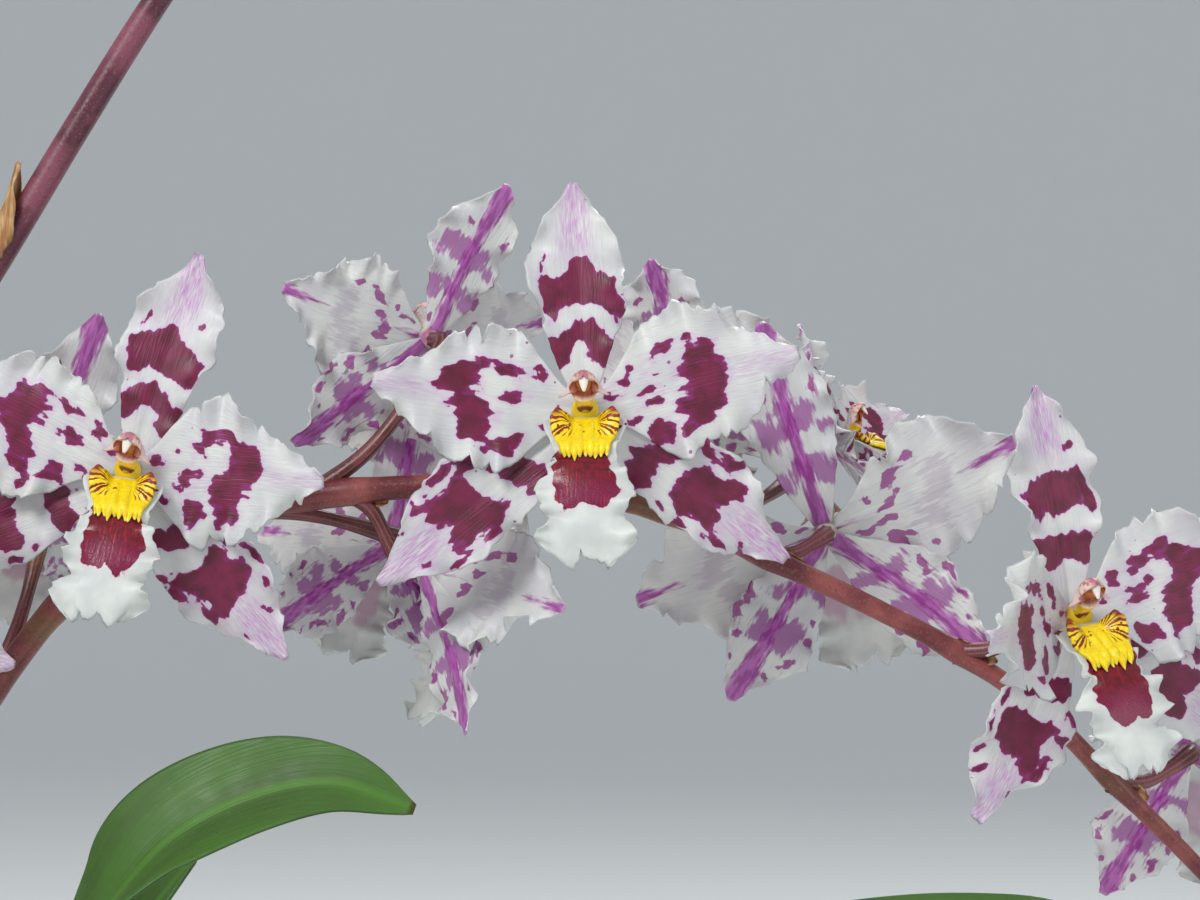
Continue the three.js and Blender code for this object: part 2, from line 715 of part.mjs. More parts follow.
// Bark and pot
function barkSolid(cutters) {
  const inner = pot.shoulderRadius - pot.wall - clearance;
  const innerFoot = pot.footRadius - pot.wall - clearance;
  const foot = pot.floor + clearance;
  const bed = latheSolid([[0, foot], [innerFoot, foot], [inner, bark.top], [0, bark.top]]);
  const draw = seededDraw(bark.seed);
  const chips = [];
  for (let i = 0; i < bark.chips; i++) {
    const golden = Math.PI * (3 - Math.sqrt(5));
    const far = (inner - bark.fromWall) * Math.sqrt((i + 0.5) / bark.chips);
    const size = THREE.MathUtils.lerp(bark.smallest, bark.largest, draw());
    const chip = new THREE.BoxGeometry(bark.chipLength * size, bark.chipWidth * size, bark.chipHeight * size);
    chip.rotateX((2 * draw() - 1) * bark.tilt);
    chip.rotateY((2 * draw() - 1) * bark.tilt);
    chip.rotateZ(draw() * Math.PI);
    chip.translate(far * Math.cos(i * golden), far * Math.sin(i * golden), bark.top);
    chips.push(solidOfGeometry(chip));
  }
  let solid = wasm.Manifold.union([bed, ...chips]);
  cutters.forEach((cutter) => {
    solid = solid.subtract(cutter);
  });
  return mainBody(solid);
}

function potSolid() {
  const shoulder = pot.height - pot.rimHeight;
  const rimInner = pot.shoulderRadius - pot.wall + 2;
  let solid = latheSolid([
    [0, 0],
    [pot.footRadius - pot.bevel, 0],
    [pot.footRadius, pot.bevel],
    [pot.shoulderRadius, shoulder],
    [pot.rimRadius - 1, shoulder + 0.5],
    [pot.rimRadius, shoulder + 2],
    [pot.rimRadius + 1, pot.height - 2.5],
    [pot.rimRadius - 1, pot.height],
    [pot.rimRadius - 4, pot.height - 0.6],
    [rimInner, shoulder + 6],
    [pot.footRadius - pot.wall, pot.floor],
    [0, pot.floor],
  ]);
  for (let i = 0; i < pot.holes; i++) {
    const angle = (2 * Math.PI * (i + 0.5)) / pot.holes;
    const hole = new THREE.CylinderGeometry(pot.holeRadius, pot.holeRadius, 3 * pot.floor, pot.holeSides);
    hole.rotateX(Math.PI / 2);
    hole.translate(pot.holeRing * Math.cos(angle), pot.holeRing * Math.sin(angle), pot.floor / 2);
    solid = solid.subtract(solidOfGeometry(hole));
  }
  return solid;
}

// Assembly
const orchid = new THREE.Group();

const finishes = {
  pot: { color: 0xb5623e, roughness: 0.85 },
  bark: { color: 0x4f3424, roughness: 0.95 },
  bulb: { color: 0x6f8f3a, roughness: 0.45 },
  leaf: { color: 0x4d8a1f, roughness: 0.4 },
  stem: { color: 0x7a3a3e, roughness: 0.45 },
  dryBract: { color: 0xc79a62, roughness: 0.8 },
  petal: { color: 0xe4e8ea, roughness: 0.5 },
  crest: { color: 0xf2d51c, roughness: 0.45 },
};

function addPiece(name, solid, finish) {
  const material = new THREE.MeshStandardMaterial({ ...finishes[finish], metalness: 0 });
  const mesh = new THREE.Mesh(geometryOf(solid), material);
  mesh.name = name;
  orchid.add(mesh);
}

const parts = new Map();
[...blooms, ...upperBlooms].forEach((bloom, i) => parts.set(bloom.name, bloomParts(bloom, i + 1)));

const mainStem = spikeSolid(mainSpike, blooms, parts, mainBuds, stemBracts.main);
const secondStem = spikeSolid(secondSpike, upperBlooms, parts, upperBuds, stemBracts.second);

addPiece("pot", potSolid(), "pot");
const cutters = bulbs.map((one) => bulbSolid(one, clearance));
for (const spike of [mainSpike, secondSpike]) {
  const grown = (t) => profile(spike.radii, t) + clearance + 0.2;
  cutters.push(stem(spikeCurve(spike), grown, spike.sides, spike.steps));
}
addPiece("bark", barkSolid(cutters), "bark");
bulbs.forEach((one) => addPiece(one.name, bulbSolid(one, 0), "bulb"));
leaves.forEach((leaf) => addPiece(leaf.name, leafSolid(leaf), "leaf"));
addPiece("main_spike", mainStem, "stem");
addPiece("second_spike", secondStem, "stem");
addPiece("dry_bract", dryBractSolid(), "dryBract");
for (const bloom of [...blooms, ...upperBlooms]) {
  const part = parts.get(bloom.name);
  addPiece(bloom.name, bloomSolid(part, bloom.size), "petal");
  addPiece(bloom.name.replace("bloom", "crest"), crestSolid(part, bloom.size), "crest");
}

export default orchid;
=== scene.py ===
# Potted oncidium orchid: the fine pieces, finishes, floor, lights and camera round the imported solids.
import json
import math

import bpy
import numpy as np
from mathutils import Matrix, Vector

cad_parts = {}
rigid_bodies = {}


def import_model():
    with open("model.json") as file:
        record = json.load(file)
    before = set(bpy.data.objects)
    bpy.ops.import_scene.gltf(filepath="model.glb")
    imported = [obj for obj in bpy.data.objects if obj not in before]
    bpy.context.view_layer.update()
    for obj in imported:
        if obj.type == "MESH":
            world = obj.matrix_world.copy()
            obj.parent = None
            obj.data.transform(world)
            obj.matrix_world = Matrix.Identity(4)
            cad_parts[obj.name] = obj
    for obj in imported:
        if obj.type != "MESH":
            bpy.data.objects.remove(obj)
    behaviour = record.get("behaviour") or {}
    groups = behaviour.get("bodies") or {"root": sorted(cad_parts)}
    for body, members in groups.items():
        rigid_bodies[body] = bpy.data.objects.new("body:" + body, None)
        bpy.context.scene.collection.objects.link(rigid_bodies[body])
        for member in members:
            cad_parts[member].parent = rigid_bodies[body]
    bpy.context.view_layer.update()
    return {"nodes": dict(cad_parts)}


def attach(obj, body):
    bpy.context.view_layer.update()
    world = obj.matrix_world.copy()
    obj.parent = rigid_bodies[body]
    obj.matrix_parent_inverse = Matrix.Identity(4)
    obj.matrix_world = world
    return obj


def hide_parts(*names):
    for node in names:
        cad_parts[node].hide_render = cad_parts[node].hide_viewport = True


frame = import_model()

mm = 0.001
scene = bpy.context.scene
for node in frame["nodes"].values():
    node.data.materials.clear()


# Small helpers

def unit(vector):
    vector = np.asarray(vector, float)
    return vector / np.linalg.norm(vector, axis=-1, keepdims=True)


def between(start, towards, angle):
    return start * math.cos(angle) + towards * math.sin(angle)


def ease(t, low, high):
    k = np.clip((t - low) / (high - low), 0, 1)
    return k * k * (3 - 2 * k)


def cubic(k, k2, k3, start, slopeIn, end, slopeOut):  # k, its square and its cube
    return (2 * k3 - 3 * k2 + 1) * start + (k3 - 2 * k2 + k) * slopeIn + (3 * k2 - 2 * k3) * end + (k3 - k2) * slopeOut


def profile(points, t):  # a smooth value through [place, value] points
    t = np.asarray(t, float)
    xs = np.array([p[0] for p in points], float)
    ys = np.array([p[1] for p in points], float)
    i = np.clip(np.searchsorted(xs, t, side="left"), 1, len(xs) - 1)
    before = np.maximum(i - 2, 0)
    after = np.minimum(i + 1, len(xs) - 1)
    span = xs[i] - xs[i - 1]
    k = (t - xs[i - 1]) / span
    slopeIn = (ys[i] - ys[before]) / (xs[i] - xs[before]) * span
    slopeOut = (ys[after] - ys[i - 1]) / (xs[after] - xs[i - 1]) * span
    return cubic(k, k * k, k * k * k, ys[i - 1], slopeIn, ys[i], slopeOut)


def seededDraw(seed):  # the same draws as the solids use, from 0 to 1
    state = [seed * 7919 + 12345]

    def draw():
        state[0] = state[0] * 16807 % 2147483647
        return state[0] / 2147483647

    return draw


def smoothRoute(points, perSpan=40):  # a smooth line through the points, with its headings and length
    p = np.array(points, float)
    p = np.vstack([2 * p[0] - p[1], p, 2 * p[-1] - p[-2]])
    pieces = []
    for i in range(1, len(p) - 2):
        x0, x1, x2, x3 = p[i - 1:i + 3]
        d0, d1, d2 = (np.linalg.norm(b - a) ** 0.5 for a, b in ((x0, x1), (x1, x2), (x2, x3)))
        m1 = ((x1 - x0) / d0 - (x2 - x0) / (d0 + d1) + (x2 - x1) / d1) * d1
        m2 = ((x2 - x1) / d1 - (x3 - x1) / (d1 + d2) + (x3 - x2) / d2) * d1
        k = np.linspace(0, 1, perSpan, endpoint=False)[:, None]
        pieces.append(cubic(k, k**2, k**3, x1, m1, x2, m2))
    line = np.vstack(pieces + [p[-2][None]])
    step = np.linalg.norm(np.diff(line, axis=0), axis=1)
    far = np.concatenate([[0], np.cumsum(step)])
    return {"line": line, "far": far / far[-1], "heading": unit(np.gradient(line, axis=0)), "length": far[-1]}


def placeOn(route, t):
    return np.stack([np.interp(t, route["far"], route["line"][:, k]) for k in range(3)], -1)


def headingOn(route, t):
    return unit(np.stack([np.interp(t, route["far"], route["heading"][:, k]) for k in range(3)], -1))


def placeAtX(route, x):  # where on the rising and arching part of a route it passes x
    low, high = 0.25, 1.0
    for _ in range(24):
        middle = (low + high) / 2
        if placeOn(route, middle)[0] < x:
            low = middle
        else:
            high = middle
    return low


def addObject(name, data):
    made = bpy.data.objects.new(name, data)
    scene.collection.objects.link(made)
    return made


def meshPiece(name, verts, faces=(), attributes=None, finishes=(), slots=None, smooth=True, edges=()):
    mesh = bpy.data.meshes.new(name)
    mesh.from_pydata((np.asarray(verts) * mm).tolist(), list(edges), [tuple(int(i) for i in f) for f in faces])
    for key, values in (attributes or {}).items():
        values = np.asarray(values, np.float32)
        kind, field = ("FLOAT", "value") if values.ndim == 1 else ("FLOAT_VECTOR", "vector")
        mesh.attributes.new(key, kind, "POINT").data.foreach_set(field, values.ravel())
    for finish in finishes:
        mesh.materials.append(finish)
    if slots is not None:
        mesh.polygons.foreach_set("material_index", np.asarray(slots, np.int32))
    mesh.polygons.foreach_set("use_smooth", [smooth] * len(mesh.polygons))
    mesh.update()
    return addObject(name, mesh)


def joinPieces(name, pieces):
    with bpy.context.temp_override(active_object=pieces[0], selected_editable_objects=pieces):
        bpy.ops.object.join()
    pieces[0].name = name
    pieces[0].data.name = name
    return pieces[0]


def place(piece, slot, *nodes):
    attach(piece, "root")
    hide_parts(*nodes)


def bake(piece, modifier):  # the modifier's result becomes the piece's own plain mesh
    bpy.context.view_layer.update()
    piece.data = bpy.data.meshes.new_from_object(piece.evaluated_get(bpy.context.evaluated_depsgraph_get()))
    piece.modifiers.remove(modifier)
    return piece.data


def roundAngles(count):
    return np.linspace(0, 2 * np.pi, count, endpoint=False)


def circle(radius, heights, angles):  # heights: one for all, or one for each angle
    heights = np.broadcast_to(heights, len(angles))
    return [(radius * math.cos(a), radius * math.sin(a), z) for a, z in zip(angles, heights)]


def sheetGrid(rows, columns, half=1.0):  # 0 to 1 along, and -half to half across
    return np.meshgrid(np.linspace(0, 1, rows), np.linspace(-half, half, columns), indexing="ij")


def around(first, second, angle):
    return first * np.cos(angle)[..., None] + second * np.sin(angle)[..., None]


def bulge(t, place, width):
    return np.exp(-(((t - place) / width) ** 2))


def gridShell(middle, thickness, attributes=None, flip=False):
    # A closed thin blade: its two faces share the vertices of the margin. Attributes are grids for the front.
    rows, columns = middle.shape[:2]
    front = np.arange(rows * columns).reshape(rows, columns)
    back = front.copy()
    inner = (rows - 2) * (columns - 2)
    back[1:-1, 1:-1] = np.arange(inner).reshape(rows - 2, columns - 2) + rows * columns
    normal = gridNormal(middle) * (-1 if flip else 1)
    half = np.broadcast_to(thickness / 2, (rows, columns))[..., None]
    edge = np.zeros((rows, columns, 1))
    edge[1:-1, 1:-1] = 1
    over = (middle + normal * half * edge).reshape(-1, 3)
    under = (middle - normal * half)[1:-1, 1:-1].reshape(-1, 3)
    verts = np.vstack([over, under])
    a, b, c, d = front[:-1, :-1], front[:-1, 1:], front[1:, 1:], front[1:, :-1]
    faces = np.stack([a, b, c, d], -1).reshape(-1, 4)
    a, b, c, d = back[:-1, :-1], back[1:, :-1], back[1:, 1:], back[:-1, 1:]
    faces = np.vstack([faces, np.stack([a, b, c, d], -1).reshape(-1, 4)])[:, ::-1 if flip else 1]
    packed = {}
    for key, grid in (attributes or {}).items():
        tail = grid.shape[2:]
        packed[key] = np.concatenate([grid.reshape(-1, *tail), grid[1:-1, 1:-1].reshape(-1, *tail)])
    packed["rear"] = np.concatenate([np.zeros(rows * columns), np.ones(inner)])
    return verts, faces, packed


def gridNormal(middle):
    return unit(np.cross(np.gradient(middle, axis=1), np.gradient(middle, axis=0)) + 1e-12)


def loftShell(rings):
    # A closed body through rings of points that run anticlockwise round the way they advance.
    rings = np.asarray(rings, float)
    count, sides = rings.shape[:2]
    verts = np.vstack([rings.reshape(-1, 3), rings[0].mean(0), rings[-1].mean(0)])
    index = np.arange(count * sides).reshape(count, sides)
    following = np.roll(index, -1, axis=1)
    faces = np.stack([index[:-1], following[:-1], following[1:], index[1:]], -1).reshape(-1, 4).tolist()
    foot, top = count * sides, count * sides + 1
    faces += [(foot, following[0, i], index[0, i]) for i in range(sides)]
    faces += [(top, index[-1, i], following[-1, i]) for i in range(sides)]
    return verts, faces


def capped(grid, foot=0, top=0):  # a grid's values for a lofted body, whose last two points are the end caps' middles
    return np.concatenate([grid.ravel(), [foot, top]])


def partsPiece(name, parts, finishes=()):
    # One piece out of several (verts, faces, attributes, slot). An attribute that a part lacks is nought on it.
    keys = sorted({key for part in parts for key in part[2]})
    verts, faces, slots, start = [], [], [], 0
    packed = {key: [] for key in keys}
    width = {key: next(part[2][key].shape[1:] for part in parts if key in part[2]) for key in keys}
    for own, ownFaces, attributes, slot in parts:
        verts.append(own)
        faces += [tuple(int(i) + start for i in face) for face in ownFaces]
        slots += [slot] * len(ownFaces)
        for key in keys:
            packed[key].append(attributes.get(key, np.zeros((len(own), *width[key]))))
        start += len(own)
    packed = {key: np.concatenate(values) for key, values in packed.items()}
    return meshPiece(name, np.vstack(verts), faces, packed, finishes, slots)


# Node helpers

def colour(red, green, blue):  # each from 0 to 255
    def linear(value):
        value /= 255
        return value / 12.92 if value <= 0.04045 else ((value + 0.055) / 1.055) ** 2.4
    return (linear(red), linear(green), linear(blue), 1)


work = {}  # "tree" is the node tree that the helpers below add to


def plug(node, values):  # links what is a socket and sets what is a value
    for socket, value in values.items():
        if isinstance(value, bpy.types.NodeSocket):
            work["tree"].links.new(value, node.inputs[socket])
        else:
            node.inputs[socket].default_value = value


def put(kind, values=None, **settings):
    made = work["tree"].nodes.new(kind)
    for key, value in settings.items():
        setattr(made, key, value)
    plug(made, values or {})
    return made


def take(kind, values=None, **settings):
    return put(kind, values, **settings).outputs[0]


def maths(operation, a, b=0.0):
    return take("ShaderNodeMath", {0: a, 1: b}, operation=operation)


def times(a, b):
    return maths("MULTIPLY", a, b)


def plus(a, b):
    return maths("ADD", a, b)


def minus(a, b):
    return maths("SUBTRACT", a, b)


def span(value, low, high, toLow=0.0, toHigh=1.0):
    values = {"Value": value, "From Min": low, "From Max": high, "To Min": toLow, "To Max": toHigh}
    return take("ShaderNodeMapRange", values, interpolation_type="SMOOTHSTEP")


def mix(factor, a, b):  # a and b are sockets, or three numbers from 0 to 255
    a, b = (colour(*end) if isinstance(end, tuple) else end for end in (a, b))
    return put("ShaderNodeMix", {0: factor, 6: a, 7: b}, data_type="RGBA").outputs[2]


def noise(vector, scale, detail=2.0, roughness=0.5):
    values = {"Vector": vector, "Scale": scale, "Detail": detail, "Roughness": roughness}
    return take("ShaderNodeTexNoise", values)


def cloud(vector, scale, detail, low, high, roughness=0.5):  # soft patches of noise, 0 outside and 1 inside
    return span(noise(vector, scale, detail, roughness), low, high)


def stretch(vector, scale):
    return take("ShaderNodeMapping", {"Vector": vector, "Scale": scale})


def read(name, output="Fac"):
    return put("ShaderNodeAttribute", attribute_name=name).outputs[output]


def objectPlace():
    return put("ShaderNodeTexCoord").outputs["Object"]


def component(vector, axis):
    return put("ShaderNodeSeparateXYZ", {0: vector}).outputs[axis]


def bump(height, strength, distance, under=None):
    values = {"Height": height, "Strength": strength, "Distance": distance}
    if under is not None:
        values["Normal"] = under
    return take("ShaderNodeBump", values)


def layered(base, *stains):  # each stain: where it shows, how strongly, and its colour
    for mask, strength, tint in stains:
        base = mix(times(mask, strength), base, tint)
    return base


def dress(finish, values):
    plug(finish.node_tree.nodes["Principled BSDF"], values)
    return finish


def translucent(weight, scale, radius=None):
    values = {"Subsurface Weight": weight, "Subsurface Scale": scale}
    return values if radius is None else {**values, "Subsurface Radius": radius}


def newFinish(name, roughness):
    finish = bpy.data.materials.new(name)
    finish.use_nodes = True
    work["tree"] = finish.node_tree
    return dress(finish, {"Roughness": roughness})


# Geometry node trees

def newTree(name, **sockets):
    tree = work["tree"] = bpy.data.node_groups.new(name, "GeometryNodeTree")
    for key, kind in {"Geometry": "Geometry", **sockets, "Finish": "Material"}.items():
        tree.interface.new_socket(key, in_out="INPUT", socket_type="NodeSocket" + kind)
    tree.interface.new_socket("Geometry", in_out="OUTPUT", socket_type="NodeSocketGeometry")
    return put("NodeGroupInput").outputs


def endTree(given, geometry):
    real = take("GeometryNodeRealizeInstances", {"Geometry": geometry})
    done = take("GeometryNodeSetMaterial", {"Geometry": real, "Material": given["Finish"]})
    put("NodeGroupOutput", {0: done})
    return work["tree"]


def named(name, kind):
    return take("GeometryNodeInputNamedAttribute", {"Name": name}, data_type=kind)


def growTree(piece, tree, values, smooth=True):
    # Runs a geometry node tree on a piece and keeps the result as its plain mesh.
    modifier = piece.modifiers.new(tree.name, "NODES")
    modifier.node_group = tree
    for item in tree.interface.items_tree:
        if item.in_out == "INPUT" and item.name in values:
            modifier[item.identifier] = values[item.name]
    grown = bake(piece, modifier)
    grown.polygons.foreach_set("use_smooth", [smooth] * len(grown.polygons))
    return piece


def makeTubeTree():  # every edge line of the mesh becomes a stem as thick as its "thick" attribute says
    given = newTree("stem along its line", Ribs="Int", Groove="Float")
    line = take("GeometryNodeMeshToCurve", {"Mesh": given["Geometry"]})
    thick = named("thick", "FLOAT")
    sized = take("GeometryNodeSetCurveRadius", {"Curve": line, "Radius": thick})
    star = take("GeometryNodeCurveStar", {
        "Points": given["Ribs"], "Inner Radius": minus(1.0, given["Groove"]),
        "Outer Radius": plus(1.0, times(given["Groove"], 0.3)),
    })
    odd = maths("MODULO", take("GeometryNodeInputIndex"), 2.0)
    marked = take("GeometryNodeStoreNamedAttribute", {"Geometry": star, "Name": "furrow", "Value": odd},
                  data_type="FLOAT", domain="POINT")
    tube = put("GeometryNodeCurveToMesh", {"Curve": sized, "Profile Curve": marked, "Fill Caps": True})
    if "Scale" in tube.inputs:  # Blender's later versions take the thickness here
        plug(tube, {"Scale": thick})
    return endTree(given, tube.outputs[0])


def makePlantTree():  # sets a copy of one piece on every point, turned by "aim" and sized by "size"
    given = newTree("piece on each point", Piece="Object")
    source = put("GeometryNodeObjectInfo", {"Object": given["Piece"]}).outputs["Geometry"]
    turn = take("FunctionNodeEulerToRotation", {0: named("aim", "FLOAT_VECTOR")})
    planted = put("GeometryNodeInstanceOnPoints", {
        "Points": given["Geometry"], "Instance": source, "Rotation": turn, "Scale": named("size", "FLOAT_VECTOR")})
    return endTree(given, planted.outputs[0])


tubeTree = makeTubeTree()
plantTree = makePlantTree()


def lines(name, routes):  # each route: points and their radius, in millimetres
    edges, start = [], 0
    for route, radii in routes:
        edges += [(i, i + 1) for i in range(start, start + len(route) - 1)]
        start += len(route)
    thick = np.concatenate([radii for route, radii in routes]) * mm
    return meshPiece(name, np.vstack([route for route, radii in routes]), attributes={"thick": thick}, edges=edges)


def points(name, places, directions, sizes):
    turns = [list(Vector(d).to_track_quat("Z", "Y").to_euler()) for d in directions]
    return meshPiece(name, places, attributes={"aim": turns, "size": sizes})


# Blooms

sepalEdge = {
    "ruffle": 0.8, "waves": 2, "frill": 1.7, "frillWaves": 3.7, "teeth": 0.7, "splits": 0.3, "sway": 0.07,
    "groove": 0.5,
}
petalEdge = {
    "ruffle": 1.7, "waves": 2.5, "frill": 1.9, "frillWaves": 4.9, "teeth": 1.0, "splits": 1.8, "sway": 0.05,
    "groove": 0.3,
}
petal = {
    "outline": [[0, 1.7], [0.12, 5], [0.3, 11.8], [0.47, 13.8], [0.64, 11.6], [0.78, 7], [0.9, 3.6], [1, 1.2]],
    "lean": 6, "length": 40, "bow": -6, "cup": -0.02, "spout": -0.35, "back": 0, **petalEdge,
}
lateral = {
    "outline": [[0, 1.6], [0.15, 4], [0.35, 7.6], [0.55, 9.2], [0.72, 7.6], [0.86, 3.8], [1, 0.7]],
    "lean": -9, "bow": 6, "cup": 0.08, "spout": -0.45, "back": 1.7, **sepalEdge,
}
tepals = {  # the same sizes as the solids: [place along, half width] in millimetres, angles in degrees
    "dorsal": {
        "outline": [[0, 1.6], [0.14, 4.2], [0.28, 6.2], [0.5, 9], [0.7, 8.7], [0.84, 5.4], [0.93, 2.4], [1, 0.7]],
        "turn": 0, "lean": -8, "length": 42, "bow": 8, "cup": 0.08, "spout": 0.1, "back": 1.7, **sepalEdge,
        "teeth": 0.6, "frill": 1.9,
    },
    "petalRight": {"turn": 80, **petal},
    "petalLeft": {"turn": -79, **petal},
    "lateralRight": {"turn": 129, "length": 48, **lateral},
    "lateralLeft": {"turn": -129, "length": 49, **lateral},
    "lip": {
        "outline": [
            [0, 3], [0.05, 7.2], [0.11, 7.8], [0.2, 6.7], [0.31, 6.1], [0.42, 7.4], [0.52, 9.3], [0.62, 9], [0.73, 7.2],
            [0.83, 9.6], [0.93, 8.6], [1, 5.6],
        ],
        "turn": 180, "lean": 24, "length": 33, "bow": 36, "cup": -0.06, "spout": 0, "back": -1.9, "notch": 0.07,
        "ruffle": 1.2, "waves": 2, "frill": 1.6, "frillWaves": 5.5, "teeth": 0.85, "splits": 0.9, "sway": 0,
        "groove": 0,
    },
}

tepalFinish = {
    "thickness": 0.55, "across": 26, "along": 60, "lipAcross": 40, "lipAlong": 54, "hubStart": 1.5, "slices": 24,
    "sepalKeel": [[0, 1.7], [0.2, 1.2], [0.55, 1.2], [0.8, 1.9], [1, 2.6]],
    "petalKeel": [[0, 0.4], [0.5, -1.2], [0.8, 0.2], [1, 1.6]],
}

# Markings: place along, millimetres across, half length, half width, turn in degrees.
markings = {
    "dorsal": [
        (0.29, 0, 2.4, 5.0, 0), (0.235, -4.4, 3.2, 2.8, 20), (0.235, 4.4, 3.2, 2.8, -20), (0.50, 0, 3.4, 6.0, 0),
        (0.575, 0.4, 2.6, 3.0, 0), (0.53, -4.4, 2.6, 2.4, 0), (0.525, 4.6, 2.6, 2.4, 0), (0.45, -5.8, 2.6, 1.9, 0),
        (0.455, 6.0, 2.6, 1.9, 0), (0.655, -5.8, 1.4, 0.7, 10), (0.68, 4.4, 0.9, 0.9, 0), (0.06, 3.2, 1.6, 0.6, 0),
    ],
    "petal": [
        (0.55, -4.4, 3.7, 2.1, 8), (0.572, -1.5, 4.3, 1.9, 4), (0.535, 1.6, 4.5, 2.0, -4), (0.50, 4.5, 4.0, 2.0, -8),
        (0.485, 7.2, 2.8, 1.8, 0), (0.36, -5.8, 3.1, 1.1, -20), (0.49, -7.6, 1.8, 1.0, 0), (0.335, -1.8, 1.8, 0.8, 15),
        (0.285, 0.2, 2.4, 0.9, 5), (0.28, 2.5, 2.2, 0.9, 0), (0.2, -5.2, 1.1, 1.0, 0), (0.19, -3.4, 1.0, 0.8, 0),
        (0.275, 6.6, 1.5, 1.4, 0), (0.325, 8.2, 1.8, 1.2, 20), (0.275, 8.8, 1.3, 1.2, 0), (0.15, 4.2, 1.6, 0.7, 0),
        (0.1, -1.6, 1.4, 0.6, 0), (0.42, 9.8, 0.9, 0.8, 0),
    ],
    "lateral": [
        (0.30, 0.6, 3.0, 3.2, 0), (0.27, 4.2, 2.6, 2.6, 0), (0.34, -2.8, 2.6, 2.0, 20), (0.55, 0.6, 4.6, 4.6, 0),
        (0.60, -2.6, 3.4, 2.8, 0), (0.50, -3.4, 2.6, 2.2, 0), (0.62, 2.8, 3.4, 2.2, 0), (0.49, 3.8, 2.6, 2.2, 0),
        (0.44, -6.6, 2.6, 0.9, 10), (0.56, -7.8, 2.8, 0.9, 0), (0.68, -6.6, 1.8, 0.8, -10), (0.42, 7.2, 1.2, 1.0, 0),
        (0.52, 7.6, 1.8, 1.3, -5), (0.68, 6.0, 3.0, 0.9, -12), (0.78, -4.4, 1.0, 0.6, 0), (0.82, 3.2, 1.2, 0.6, 0),
    ],
    "lip": [
        (0.34, 0, 3.4, 5.2, 0), (0.45, 0, 5.4, 5.0, 0), (0.52, -3.0, 4.0, 2.7, 0), (0.52, 3.0, 4.0, 2.7, 0),
        (0.615, -2.1, 2.2, 1.9, 0), (0.625, 2.2, 2.4, 2.0, 0), (0.1, -6.2, 0.5, 0.9, 0), (0.1, 6.2, 0.5, 0.9, 0),
    ],
}

blooms = [  # centre, the way it faces, the way its top sepal points, where its stalk leaves, size, its own organs
    ("bloom_01", [28, -30, 299], [-0.3, -0.95, 0.1], [-0.5, 0, 0.87], 37, 1, {"lateralRight": [0, -10, 0.7]}),
    ("bloom_02", [60, 26, 321], [-0.2, 0.95, 0.1], [0.24, 0, 1], 52, 0.95, {
        "lateralLeft": [0, 50, 0.7], "petalLeft": [0, 30, 0.9]}),
    ("bloom_03", [82.3, -24, 328.2], [-0.1, -1, 0], [0.3, 0, 1], 68, 1, {
        "lip": [-9, 0, 1], "lateralRight": [-4, 0, 0.92], "petalRight": [-2, 0, 0.93]}),
    ("bloom_04", [137, 14, 354], [-0.4, 0.9, 0.15], [0.48, 0, 0.88], 114, 0.9, {
        "dorsal": [0, 8, 0.88], "petalRight": [20, 0, 0.85], "petalLeft": [20, 15, 0.8],
        "lateralRight": [22, 5, 0.8], "lateralLeft": [0, 32, 0.7]}),
    ("bloom_05", [129, 24, 313], [-0.35, 0.9, -0.15], [0.3, 0, 0.95], 100, 0.9, {
        "dorsal": [0, 22, 0.95], "petalRight": [10, 45, 0.8], "petalLeft": [0, 34, 0.8],
        "lateralRight": [12, 5, 0.7], "lateralLeft": [0, 40, 0.7], "lip": [0, 0, 0.85]}),
    ("bloom_06", [138, 6, 308], [0.75, 0.45, -0.45], [0.4, 0, 0.9], 122, 0.9, {
        "dorsal": [0, 36, 0.8], "petalLeft": [0, 12, 1], "lateralLeft": [0, 24, 0.9],
        "petalRight": [0, 48, 0.9], "lateralRight": [-22, 56, 0.8]}),
    ("bloom_07", [168.2, -26, 339.5], [0, -1, 0], [-0.05, 0, 1], 152, 1, {}),
    ("bloom_08", [187, 24, 344], [0.2, 0.95, 0.2], [-0.17, 0, 1], 172, 0.9, {
        "dorsal": [0, 0, 0.7], "petalRight": [-38, 20, 0.85], "petalLeft": [0, 50, 0.8],
        "lateralRight": [0, 20, 0.8], "lateralLeft": [0, 45, 0.7]}),
    ("bloom_09", [215.6, 18, 315.6], [0.1, 1, 0.05], [-0.28, 0, 0.96], 203, 1, {
        "petalRight": [12, 0, 1], "lateralRight": [6, 0, 0.78], "lateralLeft": [-11, 0, 0.8]}),
    ("bloom_10", [220, 40, 333], [0.8, -0.25, 0.5], [-0.45, 0.2, 0.87], 184, 0.8, {
        "dorsal": [0, 22, 0.75], "petalLeft": [25, 10, 0.8], "petalRight": [0, 20, 0.7],
        "lateralLeft": [0, 30, 0.6]}),
    ("bloom_11", [261.2, -18, 300.7], [0.4, -0.9, 0], [-0.2, 0, 1], 240, 1, {
        "lateralLeft": [-16, 0, 0.86], "petalLeft": [-8, 32, 0.92]}),
    ("bloom_12", [287.3, 20, 272.2], [0.1, 1, 0], [-0.3, 0, 0.95], 270, 0.95, {
        "petalRight": [0, 50, 0.75], "lateralRight": [4, 0, 0.7]}),
    ("bloom_13", [152, -20, 512], [0, -0.95, 0.1], [0, 0, 1], 134, 1, {}),
    ("bloom_14", [196, 26, 520], [0.1, 1, 0], [0.1, 0, 1], 180, 0.95, {}),
]


